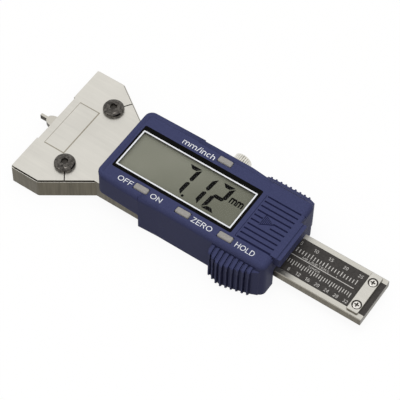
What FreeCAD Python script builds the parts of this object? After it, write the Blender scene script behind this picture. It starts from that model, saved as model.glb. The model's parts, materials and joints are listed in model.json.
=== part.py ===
import FreeCAD, Part
import math
import os
import re
import Sketcher
from FreeCAD import Placement, Rotation, Vector

# A digital depth gauge: a T-shaped base with a measuring face, a beam that slides through it and
# carries a thin depth rod, and a plastic housing with the display on top.
# Frame in millimetres: X = 0 is the measuring face and +X runs along the beam to its tail,
# Y = 0 is the middle of the beam, Z = 0 is the flat back of the base and +Z is the display side.

SIZES = {
    # metal base and slider
    "base_half": 22.2,
    "base_height": 6.7,
    "end_length": 9.8,
    "neck_start": 24.1,
    "neck_half": 12.3,
    "slider_end": 82.4,
    "relief_half": 9.3,
    "relief_depth": 0.4,
    "front_wall": 3.2,
    "base_edge_break": 0.3,
    "overcut": 1.0,
    "thread_end_gap": 0.2,
    # beam with scale, rod and stop
    "side_wall": 4.3,
    "beam_half": "=neck_half - side_wall",
    "beam_thick": 2.9,
    "beam_drop": 0.06,
    "beam_top": "=base_height - beam_drop",
    "beam_bottom": "=beam_top - beam_thick",
    "end_gap": 0.15,
    "beam_end": 113.15,
    "beam_edge_break": 0.2,
    "slide_gap": 0.04,
    "rail_width": 1.75,
    "label_half": "=beam_half - rail_width",
    "label_thick": 0.5,
    "label_sink": 0.1,
    "rod_half": 2.0,
    "rod_thick": 1.8,
    "rod_seat": 0.8,
    "rod_reach": 5.7,
    "rod_tail": 34.0,
    "tip_half": 0.42,
    "tip_length": 2.4,
    "shoulder_length": 3.3,
    "reading_max": 25.4,
    "rivet_radius": 0.6,
    "rivet_first": 25.6,
    "rivet_step": 5.6,
    "stop_front": 107.7,
    "stop_length": 4.0,
    "stop_thick": 0.6,
    "stop_side": 0.45,
    "stop_corner": 1.2,
    "stop_screw_inset": 3.55,
    "stop_screw_y": "=beam_half - stop_screw_inset",
    "stop_screw_radius": 0.8,
    "stop_head_radius": 1.35,
    "stop_head_thick": 0.55,
    "stop_sink_gap": 0.22,
    "stop_screw_length": 2.4,
    "recess_width": 0.32,
    "recess_length": 1.5,
    "recess_depth": 0.35,
    # cover plate and its screws
    "plate_thick": 0.5,
    "plate_inset": 0.45,
    "plate_end": 26.6,
    "slit_width": 0.36,
    "base_screw_x": 12.7,
    "base_screw_y": 12.4,
    "base_thread_radius": 1.5,
    "base_head_radius": 3.3,
    "base_head_height": 1.75,
    "base_head_rim": 0.7,
    "base_head_flat": 1.9,
    "base_screw_depth": 4.0,
    "socket_radius": 1.15,
    "socket_depth": 1.0,
    # plastic housing
    "shell_front": 25.3,
    "shell_end": 84.1,
    "shell_skirt": 1.6,
    "shell_rise": 8.1,
    "shell_top": "=base_height + shell_rise",
    "shell_side": 1.3,
    "shell_cover": 2.0,
    "shell_chin": 5.8,
    "chin_flare": 0.35,
    "skirt_start": 40.6,
    "far_flare_end": 45.2,
    "front_corner": 2.2,
    "rear_corner": 2.1,
    "shoulder_radius": 1.9,
    "nose_wall": 1.6,
    "tail_wall": 1.0,
    "beam_door_gap": 0.35,
    "beam_door_rise": 0.96,
    "beam_door_top": "=beam_top + beam_door_rise",
    "board_gap": 0.2,
    # finger grips
    "grip_start": 66.2,
    "grip_height": 10.3,
    "grip_root": 12.0,
    "grip_pitch": 1.62,
    "grip_count": 9,
    "grip_first": 67.1,
    "rib_depth": 0.75,
    "rib_width": 0.85,
    "grip_wall": 1.2,
    "grip_back_x": 80.9,
    "grip_tail_x": 82.6,
    "near_crest_x": 71.2,
    "near_front_out": 1.5,
    "near_crest_out": 3.3,
    "near_back_out": 0.95,
    "near_tail_out": 0.2,
    "far_crest_x": 74.0,
    "far_front_out": 2.35,
    "far_crest_out": 2.75,
    "far_back_out": 2.6,
    "far_tail_out": 1.8,
    "grip_bulge": 0.25,
    # window and display
    "window_front": 27.9,
    "window_end": 69.2,
    "window_inset": 3.85,
    "window_half": "=neck_half - window_inset",
    "window_y": -0.25,
    "window_thick": 1.2,
    "window_fit": 0.05,
    "view_margin": 1.4,
    "glass_thick": 0.95,
    "glass_ledge": 1.6,
    "glass_fit": 0.1,
    "bezel_wall": 0.7,
    "bezel_base": 0.6,
    "zebra_width": 1.3,
    # circuit board
    "board_front": 27.3,
    "board_thick": 1.0,
    "board_side_gap": 0.3,
    "boss_half": 1.45,
    "boss_front_x": 29.6,
    "boss_back_x": 80.4,
    "boss_inset": 1.6,
    "case_screw_radius": 0.7,
    "case_head_radius": 1.25,
    "case_head_thick": 0.8,
    "case_screw_grip": 4.2,
    "board_screw_front_x": 46.9,
    "board_screw_back_x": 61.7,
    "board_head_radius": 1.2,
    "board_head_thick": 0.8,
    "board_screw_radius": 0.7,
    "board_screw_length": 3.6,
    "screw_fit": 0.05,
    "chip_x": 50.0,
    "chip_half": 3.6,
    "chip_corner": 0.8,
    "chip_height": 1.0,
    "chip_bevel": 0.4,
    # buttons
    "button_inset": 1.3,
    "button_first_x": 39.7,
    "button_step": 14.65,
    "button_length": 4.7,
    "button_width": 2.05,
    "button_corner": 0.35,
    "button_proud": 0.45,
    "button_gap": 0.12,
    "button_travel": 0.3,
    "flange_lip": 0.45,
    "flange_thick": 0.7,
    "flange_gap": 0.05,
    "stem_half": 0.6,
    "dome_half": 1.2,
    "dome_corner": 0.5,
    "dome_height": 0.5,
    "dome_bevel": 0.3,
    # power
    "cell_x": 77.1,
    "cell_radius": 5.8,
    "cell_height": 5.4,
    "cell_base_radius": 4.6,
    "cell_step": 0.6,
    "bay_gap": 0.2,
    "contact_thick": 0.15,
    "contact_width": 3.0,
    "contact_gap": 0.1,
    "contact_foot": 1.8,
    "contact_height": 4.3,
    "hatch_front": 71.0,
    "hatch_end": 86.3,
    "hatch_inset": 3.9,
    "hatch_half": "=neck_half - hatch_inset",
    "hatch_y": -0.45,
    "hatch_thick": 1.2,
    "hatch_fit": 0.06,
    "hatch_ledge": 1.0,
    "tongue_width": 0.5,
    "tongue_thick": 0.5,
    "hatch_lip": 3.6,
    "hatch_lip_short": 2.4,
    "hatch_lip_round": 0.5,
    "hatch_lip_gap": 0.1,
    "groove_width": 0.55,
    "groove_depth": 0.4,
    "groove_front": 71.4,
    "groove_end": 82.8,
    "groove_pitch": 1.82,
    "groove_break_front": 74.3,
    "groove_break_end": 77.9,
    "seam_x": 85.1,
    "seam_width": 0.4,
    "seam_depth": 0.3,
    "arrow_y": 0.15,
    "arrow_half": 2.0,
    "arrow_depth": 0.3,
    "arrow_front": 74.5,
    "arrow_tip": 78.1,
    # beam lock and gib
    "lock_x": 54.9,
    "lock_radius": 1.2,
    "lock_knob_radius": 2.9,
    "lock_knob_gap": 0.4,
    "lock_knob_length": 6.1,
    "knurl_count": 26,
    "knurl_size": 0.3,
    "lock_hole_gap": 0.4,
    "gib_thick": 1.2,
    "gib_play": 0.08,
    "gib_length": 42.0,
    "gib_height": 2.4,
    "gib_screw_step": 13.0,
    "gib_screw_radius": 0.7,
    "gib_screw_length": 2.4,
}

document = FreeCAD.newDocument("DepthGauge")
sheet = document.addObject("Spreadsheet::Sheet", "Sizes")
for row, (alias, value) in enumerate(SIZES.items(), 1):
    sheet.set(f"A{row}", alias)
    sheet.set(f"B{row}", str(value))
    sheet.setAlias(f"B{row}", alias)
document.recompute()

NODES = []


def size(alias):
    """The value that the sheet holds for a size."""
    return float(sheet.get(alias))


def formula(text):
    """Point each size named in a formula at its cell of the sheet."""
    return re.sub(r"[a-z][a-z_]+", lambda word: f"Sizes.{word[0]}" if word[0] in SIZES else word[0], text)


def keep(shape_object):
    """Mark a finished object as a piece of the gauge."""
    NODES.append(shape_object)
    return shape_object


def place(target, x="0", y="0", z="0"):
    """Bind an object's position to formulas."""
    for axis, text in zip("xyz", (x, y, z)):
        target.setExpression(f"Placement.Base.{axis}", formula(text))


def runs_along(edge, direction):
    """Whether an edge is straight and parallel to a direction."""
    run = edge.Vertexes[-1].Point - edge.Vertexes[0].Point
    return edge.Curve.TypeId == "Part::GeomLine" and run.cross(direction).Length < 1e-4 * run.Length


def edge_names(shape, direction, test):
    """Names of the edges whose middle passes a test, of all or of those along a direction."""
    return [f"Edge{number}" for number, edge in enumerate(shape.Edges, 1)
            if (direction is None or runs_along(edge, direction)) and test(edge.BoundBox.Center)]


class Piece:
    """A PartDesign body that is built up feature by feature."""

    def __init__(self, label):
        self.body = document.addObject("PartDesign::Body", label)
        self.body.Label = label
        self.label = label
        self.count = 0

    def feature(self, kind):
        self.count += 1
        return self.body.newObject(kind, f"{self.label}_{self.count}")

    def sketch(self, plane="XY_Plane", level="0"):
        """A sketch on one of the body's own origin planes, moved along its normal."""
        sketch = self.feature("Sketcher::SketchObject")
        support = [item for item in self.body.Origin.OriginFeatures if item.Role == plane][0]
        sketch.AttachmentSupport = [(support, "")]
        sketch.MapMode = "FlatFace"
        sketch.setExpression("AttachmentOffset.Base.z", formula(level))
        return sketch

    def grow(self, kind, sketch, length, reverse):
        feature = self.feature(kind)
        feature.Profile = sketch
        feature.Reversed = reverse
        feature.setExpression("Length", formula(length))
        document.recompute()
        return feature

    def pad(self, sketch, length, reverse=False):
        return self.grow("PartDesign::Pad", sketch, length, reverse)

    def pocket(self, sketch, length, reverse=False):
        """Cut against the sketch's normal, or along it when reversed; an empty cut is an error."""
        before = self.body.Tip.Shape.Volume
        feature = self.grow("PartDesign::Pocket", sketch, length, reverse)
        if feature.Shape.Volume > before - 1e-6:
            raise ValueError(f"{feature.Name} removes nothing")
        return feature

    def turn(self, sketch, kind="PartDesign::Revolution", axis="V_Axis"):
        feature = self.feature(kind)
        feature.Profile = sketch
        feature.ReferenceAxis = (sketch, [axis])
        feature.Angle = 360
        document.recompute()
        return feature

    def dress(self, kind, prop, value, direction, test):
        """Fillet or chamfer the tip's edges that a test picks."""
        base = self.body.Tip
        names = edge_names(base.Shape, direction, test)
        feature = self.feature(kind)
        feature.Base = (base, names)
        feature.setExpression(prop, formula(value))
        document.recompute()
        return feature

    def fillet(self, radius, direction, test):
        return self.dress("PartDesign::Fillet", "Radius", radius, direction, test)

    def chamfer(self, width, direction, test):
        return self.dress("PartDesign::Chamfer", "Size", width, direction, test)


def hold(sketch, kind, geometry, point, text):
    """Hold a point of a sketch at a distance from the origin that a formula gives."""
    number = sketch.addConstraint(Sketcher.Constraint(kind, -1, 1, geometry, point, 1.0))
    sketch.setExpression(f"Constraints[{number}]", formula(text))


def polygon(sketch, corners):
    """Closed outline whose corners are held by pairs of formulas."""
    count = len(corners)
    first = sketch.GeometryCount
    ring = [Vector(math.cos(math.tau * step / count), math.sin(math.tau * step / count), 0)
            for step in range(count)]
    sketch.addGeometry([Part.LineSegment(start, ring[(step + 1) % count]) for step, start in enumerate(ring)],
                       False)
    sketch.addConstraint([Sketcher.Constraint("Coincident", first + step, 2, first + (step + 1) % count, 1)
                          for step in range(count)])
    for step, (x, y) in enumerate(corners):
        hold(sketch, "DistanceX", first + step, 1, x)
        hold(sketch, "DistanceY", first + step, 1, y)
    return sketch


def rectangle(sketch, x0, x1, y0, y1):
    return polygon(sketch, [(x0, y0), (x1, y0), (x1, y1), (x0, y1)])


def circle(sketch, x, y, radius):
    number = sketch.addGeometry(Part.Circle(Vector(1, 1, 0), Vector(0, 0, 1), 0.5), False)
    hold(sketch, "DistanceX", number, 3, x)
    hold(sketch, "DistanceY", number, 3, y)
    limit = sketch.addConstraint(Sketcher.Constraint("Radius", number, 0.5))
    sketch.setExpression(f"Constraints[{limit}]", formula(radius))
    return sketch


def hexagon(sketch, x, y, corner_radius):
    corners = [(f"{x} + ({corner_radius}) * cos({angle})", f"{y} + ({corner_radius}) * sin({angle})")
               for angle in range(0, 360, 60)]
    return polygon(sketch, corners)


def around(x, y, half_x, half_y):
    """Bounds of a rectangle about a centre."""
    return f"{x} - ({half_x})", f"{x} + ({half_x})", f"{y} - ({half_y})", f"{y} + ({half_y})"


def mirrored(points):
    """Complete an outline given for positive Y with its mirror image."""
    return points + [(x, f"-1 * ({y})") for x, y in reversed(points)]


def sunk_hole(piece, x, y, head_face, cone_end, shank_end, head_radius, shank_radius):
    """Countersunk hole along Z: a cone from the head's face, then a bore where the hole goes deeper."""
    profile = piece.sketch("XZ_Plane", f"-1 * ({y})")
    head, shank = f"{x} + {head_radius}", f"{x} + {shank_radius}"
    bore = [] if cone_end == shank_end else [(shank, shank_end)]
    polygon(profile, [(x, head_face), (head, head_face), (shank, cone_end)] + bore + [(x, shank_end)])
    axis = profile.addGeometry(Part.LineSegment(Vector(1, 0, 0), Vector(1, 1, 0)), True)
    for point, height in ((1, head_face), (2, shank_end)):
        hold(profile, "DistanceX", axis, point, x)
        hold(profile, "DistanceY", axis, point, height)
    piece.turn(profile, "PartDesign::Groove", "Axis0")


def slab(label, x0, x1, y0, y1, z0, z1):
    """A rectangular piece between named levels."""
    piece = Piece(label)
    piece.pad(rectangle(piece.sketch(level=z0), x0, x1, y0, y1), f"{z1} - ({z0})")
    return piece


def group(label, members):
    """Identical separate solids that share one node."""
    compound = document.addObject("Part::Compound", label)
    compound.Label = label
    compound.Links = members
    return keep(compound)


UP = Vector(0, 0, 1)
ALONG = Vector(1, 0, 0)
ACROSS = Vector(0, 1, 0)
NEAR = 0.01

SHELL_HALF = "(neck_half + shell_skirt)"
CAVITY_HALF = "(neck_half + shell_skirt - shell_side)"
BOSS_Y = "(neck_half - boss_inset)"
BOARD_SCREWS = (("board_screw_front_x", f"-{BOSS_Y}"), ("board_screw_back_x", BOSS_Y))
BUTTON_Y = "(neck_half - button_inset)"
KNOB_START = "(neck_half + shell_skirt + lock_knob_gap)"
BEAM_START = "(front_wall + reading_max - rod_reach + end_gap)"
LABEL_TOP = "(beam_top - label_sink)"
LABEL_FLOOR = "(beam_top - label_sink - label_thick)"
ROD_TOP = "(beam_bottom + rod_seat)"
ROD_BOTTOM = "(beam_bottom + rod_seat - rod_thick)"
FLOOR = "(beam_bottom - slide_gap)"
WALL_INSIDE = "(beam_half + slide_gap)"
GIB_FACE = "(beam_half + gib_play)"
GIB_BACK = "(beam_half + gib_play + gib_thick)"
LOCK_Z = "((beam_bottom + beam_top) / 2)"
PLATE_TOP = "(base_height + plate_thick)"
BOARD_TOP = "(base_height + board_thick)"
ROOF_UNDER = "(shell_top - shell_cover)"
CAVITY_FRONT = "(shell_front + nose_wall)"
CAVITY_END = "(shell_end - tail_wall)"
SLANT = "hypot(neck_start - end_length; base_half - neck_half)"
SLANT_SIN = f"((base_half - neck_half) / {SLANT})"
SLANT_COS = f"((neck_start - end_length) / {SLANT})"


# ---------------------------------------------------------------- base and slider

def base_outline(inset, end):
    """Half outline of the T-shaped base, drawn in from its ends and slants but not from its front."""
    return [
        ("relief_depth", "relief_half"),
        ("0", "relief_half"),
        ("0", f"base_half - {inset}"),
        (f"end_length - {inset} * (1 - {SLANT_COS}) / {SLANT_SIN}", f"base_half - {inset}"),
        (f"neck_start - {inset} / {SLANT_SIN}", "neck_half"),
        (end, "neck_half"),
    ]


def base_frame():
    piece = Piece("base_frame")
    piece.pad(polygon(piece.sketch(), mirrored(base_outline("0", "slider_end"))), "base_height")
    channel = piece.sketch(level="base_height")
    rectangle(channel, "front_wall", "slider_end", f"-{WALL_INSIDE}", WALL_INSIDE)
    piece.pocket(channel, f"base_height - {FLOOR}")
    gib_bed = piece.sketch(level="base_height")
    rectangle(gib_bed, "lock_x - gib_length / 2 - slide_gap", "lock_x + gib_length / 2 + slide_gap",
              "0", GIB_BACK)
    piece.pocket(gib_bed, f"base_height - {FLOOR}")
    rod_way = piece.sketch("YZ_Plane", "rod_tail + rod_reach + slide_gap")
    rectangle(rod_way, "-rod_half - slide_gap", "rod_half + slide_gap",
              f"{ROD_BOTTOM} - slide_gap", f"{ROD_TOP} + slide_gap")
    piece.pocket(rod_way, "rod_tail + rod_reach + slide_gap + overcut")
    for side in ("", "-"):
        screw = circle(piece.sketch(level="base_height"), "base_screw_x", f"{side}base_screw_y",
                       "base_thread_radius + screw_fit")
        piece.pocket(screw, "base_screw_depth")
        for x in ("boss_front_x", "boss_back_x"):
            sunk_hole(piece, x, f"{side}{BOSS_Y}", "0", "case_head_thick", "base_height",
                      "case_head_radius + screw_fit", "case_screw_radius + screw_fit")
    for x, y in BOARD_SCREWS:
        thread = circle(piece.sketch(level="base_height"), x, y, "board_screw_radius + screw_fit")
        piece.pocket(thread, "board_screw_length - board_thick + screw_fit")
    lock_bore = circle(piece.sketch("XZ_Plane", "-neck_half"), "lock_x", LOCK_Z, "lock_radius + screw_fit")
    piece.pocket(lock_bore, "neck_half - beam_half", reverse=True)
    for side in ("-", "+"):
        bore = circle(piece.sketch("XZ_Plane", "-neck_half"), f"lock_x {side} gib_screw_step", LOCK_Z,
                      "gib_screw_radius + screw_fit")
        piece.pocket(bore, "neck_half - beam_half", reverse=True)
    piece.chamfer("base_edge_break", UP, lambda middle: abs(middle.y) > size("base_half") - NEAR)
    return keep(piece.body)


def cover_plate():
    piece = Piece("cover_plate")
    piece.pad(polygon(piece.sketch(level="base_height"), mirrored(base_outline("plate_inset", "plate_end"))),
              "plate_thick")
    for side in ("", "-"):
        hole = circle(piece.sketch(level=PLATE_TOP), "base_screw_x", f"{side}base_screw_y",
                      "base_thread_radius + 2 * screw_fit")
        piece.pocket(hole, "plate_thick")
        reach = "(base_half - base_screw_y)"
        corners = (("-slit_width / 2", "0"), ("slit_width / 2", "0"),
                   ("slit_width / 2", reach), ("-slit_width / 2", reach))
        slit = polygon(piece.sketch(level=PLATE_TOP), [
            (f"base_screw_x + ({across}) * {SLANT_COS} + {out} * {SLANT_SIN}",
             f"{side}(base_screw_y - ({across}) * {SLANT_SIN} + {out} * {SLANT_COS})") for across, out in corners])
        piece.pocket(slit, "plate_thick")
    return keep(piece.body)


def socket_screw(label, x, y, z):
    """Button-head socket screw that points down, seated at a height."""
    piece = Piece(label)
    profile = piece.sketch("XZ_Plane")
    point = "thread_end_gap - base_screw_depth - plate_thick"
    polygon(profile, [("0", point), ("base_thread_radius", point), ("base_thread_radius", "0"),
                      ("base_head_radius", "0"), ("base_head_radius", "base_head_rim"),
                      ("base_head_flat", "base_head_height"), ("0", "base_head_height")])
    piece.turn(profile)
    piece.pocket(hexagon(piece.sketch(level="base_head_height"), "0", "0", "socket_radius"), "socket_depth")
    place(piece.body, x, y, z)
    return piece.body


def cover_screws():
    return group("cover_screws", [socket_screw(f"cover_screw_{name}", "base_screw_x", f"{side}base_screw_y",
                                               PLATE_TOP)
                                  for name, side in (("far", ""), ("near", "-"))])


def plain_screw(label, x, y, z, radius, length, head_radius, head_thick, sunk=True, facing=1):
    """Small cross-head screw whose head starts at a height and faces up (1) or down (-1)."""
    piece = Piece(label)
    profile = piece.sketch("XZ_Plane")
    rim = [] if sunk else [(head_radius, "0")]
    polygon(profile, [("0", f"-1 * ({length})"), (radius, f"-1 * ({length})"), (radius, "0")]
            + rim + [(head_radius, head_thick), ("0", head_thick)])
    piece.turn(profile)
    half_length, half_width = "recess_length / 2", "recess_width / 2"
    for half_x, half_y in ((half_length, half_width), (half_width, half_length)):
        cut = piece.sketch(level=head_thick)
        rectangle(cut, *around("0", "0", half_x, half_y))
        piece.pocket(cut, "recess_depth")
    if facing < 0:
        piece.body.Placement = Placement(Vector(0, 0, 0), Rotation(ALONG, 180))
    place(piece.body, x, y, z)
    return piece.body


def case_screws():
    places = [(x, f"{side}{BOSS_Y}") for x in ("boss_front_x", "boss_back_x") for side in ("", "-")]
    return group("housing_screws", [
        plain_screw(f"housing_screw_{number}", x, y, "case_head_thick", "case_screw_radius",
                    "base_height - case_head_thick + case_screw_grip", "case_head_radius",
                    "case_head_thick", facing=-1)
        for number, (x, y) in enumerate(places)])


def board_screws():
    return group("board_screws", [
        plain_screw(f"board_screw_{number}", x, y, BOARD_TOP, "board_screw_radius", "board_screw_length",
                    "board_head_radius", "board_head_thick", sunk=False)
        for number, (x, y) in enumerate(BOARD_SCREWS)])


# ---------------------------------------------------------------- beam

def beam():
    piece = slab("beam", BEAM_START, "beam_end", "-beam_half", "beam_half", "beam_bottom", "beam_top")
    trough = piece.sketch(level="beam_top")
    rectangle(trough, BEAM_START, "beam_end", "-label_half", "label_half")
    piece.pocket(trough, "label_sink + label_thick")
    seat = piece.sketch(level=ROD_TOP)
    rectangle(seat, BEAM_START, "rod_tail", "-rod_half", "rod_half")
    piece.pocket(seat, "rod_seat")
    for number in range(2):
        rivet = circle(piece.sketch(level=LABEL_FLOOR), f"rivet_first + {number} * rivet_step", "0",
                       "rivet_radius + screw_fit")
        piece.pocket(rivet, f"{LABEL_FLOOR} - beam_bottom")
    for side in ("", "-"):
        screw = circle(piece.sketch(level=LABEL_FLOOR), "stop_front + stop_length / 2", f"{side}stop_screw_y",
                       "stop_screw_radius + screw_fit")
        piece.pocket(screw, f"{LABEL_FLOOR} - beam_bottom")
    piece.chamfer("beam_edge_break", ALONG, lambda middle: abs(middle.y) > size("beam_half") - NEAR)
    return keep(piece.body)


def scale_strip():
    piece = slab("scale_strip", BEAM_START, "beam_end", "-label_half", "label_half", LABEL_FLOOR, LABEL_TOP)
    for side in ("", "-"):
        screw = circle(piece.sketch(level=LABEL_TOP), "stop_front + stop_length / 2", f"{side}stop_screw_y",
                       "stop_screw_radius + screw_fit")
        piece.pocket(screw, "label_thick")
    return keep(piece.body)


def depth_rod():
    """Blade with a shank in the beam and a narrow tip, shouldered in steps of a quarter round."""
    piece = Piece("depth_rod")
    shoulder = []
    steps = 6
    for step in range(steps + 1):
        angle = 90 * step / steps
        shoulder.append((f"tip_length - rod_reach + shoulder_length * (1 - cos({angle}))",
                         f"tip_half + (rod_half - tip_half) * sin({angle})"))
    outline = [("-rod_reach", "tip_half")] + shoulder + [("rod_tail", "rod_half")]
    piece.pad(polygon(piece.sketch(level=ROD_BOTTOM), mirrored(outline)), "rod_thick")
    for number in range(2):
        rivet = circle(piece.sketch(level=ROD_TOP), f"rivet_first + {number} * rivet_step", "0",
                       "rivet_radius + screw_fit")
        piece.pocket(rivet, "rod_thick")
    return keep(piece.body)


def rod_rivets():
    rivets = []
    for number in range(2):
        rivet = document.addObject("Part::Cylinder", f"rod_rivet_{number}")
        rivet.setExpression("Radius", formula("rivet_radius"))
        rivet.setExpression("Height", formula(f"{LABEL_FLOOR} - {ROD_BOTTOM}"))
        place(rivet, f"rivet_first + {number} * rivet_step", "0", ROD_BOTTOM)
        rivets.append(rivet)
    return group("rod_rivets", rivets)


def stop_plate():
    half = "(beam_half - stop_side)"
    piece = Piece("stop_plate")
    outline = [("stop_front", f"{half} - stop_corner"), ("stop_front + stop_corner", half),
               ("stop_front + stop_length - stop_corner", half),
               ("stop_front + stop_length", f"{half} - stop_corner")]
    piece.pad(polygon(piece.sketch(level="beam_top"), mirrored(outline)), "stop_thick")
    for side in ("", "-"):
        sunk_hole(piece, "stop_front + stop_length / 2", f"{side}stop_screw_y", "beam_top + stop_thick",
                  "beam_top", "beam_top",
                  "stop_head_radius + stop_sink_gap", "stop_screw_radius + screw_fit")
    return keep(piece.body)


def stop_screws():
    return group("stop_screws", [
        plain_screw(f"stop_screw_{name}", "stop_front + stop_length / 2", f"{side}stop_screw_y",
                    "beam_top + stop_thick - stop_head_thick", "stop_screw_radius", "stop_screw_length",
                    "stop_head_radius", "stop_head_thick")
        for name, side in (("far", ""), ("near", "-"))])


# ---------------------------------------------------------------- housing

def grip_outline(side, inset):
    """Plan of one finger grip for positive Y, from its front end over the crest to its tail."""
    name = "far" if side > 0 else "near"
    front, crest, back, tail = (f"({SHELL_HALF} + {name}_{part}_out - {inset})"
                                for part in ("front", "crest", "back", "tail"))
    crest_x = f"{name}_crest_x"
    return [
        (f"grip_start + {inset}", front),
        (f"(grip_start + {crest_x}) / 2", f"({front} + {crest}) / 2 + grip_bulge"),
        (crest_x, crest),
        (f"({crest_x} + grip_back_x) / 2", f"({crest} + {back}) / 2 + grip_bulge"),
        (f"grip_back_x - {inset}", back),
        (f"grip_tail_x - {inset}", tail),
    ]


def flip(points, side):
    """The outline on the far side, or mirrored to the near side."""
    if side > 0:
        return points
    return [(x, f"-1 * ({y})") for x, y in points]


def rib_reach(side, number):
    """Middle and reach of a grip rib, following the crest of the grip."""
    name = "far" if side > 0 else "near"
    x = f"(grip_first + {number} * grip_pitch)"
    rise = f"({name}_crest_out - {name}_front_out) * ({x} - grip_start) / ({name}_crest_x - grip_start)"
    fall = f"({name}_crest_out - {name}_back_out) * ({x} - {name}_crest_x) / (grip_back_x - {name}_crest_x)"
    out = f"({x} < {name}_crest_x ? {name}_front_out + {rise} : {name}_crest_out - {fall})"
    return x, f"({SHELL_HALF} + {out} + rib_depth)"


def housing_shell(piece):
    """Outer form: the block with its flared chin, rounded corners and rounded top edge."""
    outline = [
        ("shell_end", SHELL_HALF),
        ("far_flare_end", SHELL_HALF),
        ("far_flare_end", f"{SHELL_HALF} + chin_flare"),
        ("shell_front", f"{SHELL_HALF} - chin_flare / 2"),
        ("shell_front", f"chin_flare / 2 - {SHELL_HALF}"),
        ("skirt_start", f"-{SHELL_HALF} - chin_flare"),
        ("skirt_start", f"-{SHELL_HALF}"),
        ("shell_end", f"-{SHELL_HALF}"),
    ]
    piece.pad(polygon(piece.sketch(), outline), "shell_top")
    front, end, top = size("shell_front"), size("shell_end"), size("shell_top")
    piece.fillet("front_corner", UP, lambda middle: abs(middle.x - front) < NEAR)
    piece.fillet("rear_corner", UP, lambda middle: abs(middle.x - end) < NEAR)
    piece.fillet("shoulder_radius", None, lambda middle: middle.z > top - NEAR)


def housing_inside(piece):
    """Slider tunnel, electronics cavity, open chin, beam door and four posts with pilot holes for screws."""
    tunnel = piece.sketch()
    rectangle(tunnel, "shell_front - overcut", CAVITY_END, "-neck_half - slide_gap", "neck_half + slide_gap")
    piece.pocket(tunnel, f"{PLATE_TOP} + slide_gap", reverse=True)
    cavity = piece.sketch(level=ROOF_UNDER)
    rectangle(cavity, CAVITY_FRONT, CAVITY_END, f"-{CAVITY_HALF}", CAVITY_HALF)
    piece.pocket(cavity, f"{ROOF_UNDER} - base_height")
    chin = piece.sketch()
    rectangle(chin, "shell_front - overcut", "skirt_start",
              f"-{SHELL_HALF} - overcut", f"{SHELL_HALF} + overcut")
    piece.pocket(chin, "shell_chin", reverse=True)
    door = piece.sketch()
    rectangle(door, f"{CAVITY_END} - overcut", "shell_end + overcut",
              "-beam_half - beam_door_gap", "beam_half + beam_door_gap")
    piece.pocket(door, "beam_door_top", reverse=True)
    posts, bores = piece.sketch(level="base_height"), piece.sketch(level="base_height")
    for x in ("boss_front_x", "boss_back_x"):
        for side in ("", "-"):
            rectangle(posts, f"{x} - boss_half", f"{x} + boss_half", f"{side}({BOSS_Y} - boss_half)",
                      f"{side}({CAVITY_HALF} + shell_side / 2)")
            hexagon(bores, x, f"{side}{BOSS_Y}", "(case_screw_radius + screw_fit) / cos(30)")
    piece.pad(posts, f"{ROOF_UNDER} + shell_cover / 2 - base_height")
    piece.pocket(bores, "case_screw_grip + thread_end_gap", reverse=True)


BUTTONS = {
    "button_off_on": ("button_first_x", f"-{BUTTON_Y}"),
    "button_zero": ("button_first_x + button_step", f"-{BUTTON_Y}"),
    "button_hold": ("button_first_x + 2 * button_step", f"-{BUTTON_Y}"),
    "button_units": ("button_first_x + button_step", BUTTON_Y),
}


def housing_openings(piece):
    """Window, button holes, hatch opening with its side grooves, and the lock screw's notch."""
    seat = piece.sketch(level="shell_top")
    rectangle(seat, "window_front", "window_end", "window_y - window_half", "window_y + window_half")
    piece.pocket(seat, "window_thick")
    view = piece.sketch(level="shell_top")
    rectangle(view, "window_front + view_margin", "window_end - view_margin",
              "window_y - window_half + view_margin", "window_y + window_half - view_margin")
    piece.pocket(view, "shell_cover")
    holes = piece.sketch(level="shell_top")
    for x, y in BUTTONS.values():
        rectangle(holes, *around(x, y, "button_length / 2 + button_gap", "button_width / 2 + button_gap"))
    piece.pocket(holes, "shell_cover")
    hatch = piece.sketch(level="shell_top")
    rectangle(hatch, "hatch_front - hatch_fit", "shell_end + overcut",
              "hatch_y - hatch_half - hatch_fit", "hatch_y + hatch_half + hatch_fit")
    piece.pocket(hatch, "hatch_thick + hatch_fit")
    bay = piece.sketch(level="shell_top")
    rectangle(bay, "cell_x - cell_radius - bay_gap", CAVITY_END,
              "hatch_y - hatch_half + hatch_ledge", "hatch_y + hatch_half - hatch_ledge")
    piece.pocket(bay, "shell_cover")
    notch = piece.sketch("YZ_Plane", "shell_end + overcut")
    rectangle(notch, "hatch_y - hatch_half - hatch_fit", "hatch_y + hatch_half - hatch_lip_short + hatch_fit",
              "shell_top - hatch_lip - hatch_lip_gap", "shell_top + overcut")
    piece.pocket(notch, "tail_wall + overcut")
    rails = piece.sketch("YZ_Plane", "shell_end + overcut")
    tongue_floor = "shell_top - hatch_thick"
    for side in ("-", "+"):
        rectangle(rails, f"hatch_y {side} hatch_half", f"hatch_y {side} (hatch_half + tongue_width + hatch_fit)",
                  f"{tongue_floor} - hatch_fit", f"{tongue_floor} + tongue_thick + hatch_fit")
    piece.pocket(rails, "shell_end + overcut - hatch_front + hatch_fit")
    lock = piece.sketch("XZ_Plane", f"-{SHELL_HALF}")
    rectangle(lock, "lock_x - lock_radius - lock_hole_gap", "lock_x + lock_radius + lock_hole_gap",
              "-overcut", f"{LOCK_Z} + lock_radius + lock_hole_gap")
    piece.pocket(lock, "shell_skirt", reverse=True)


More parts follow.
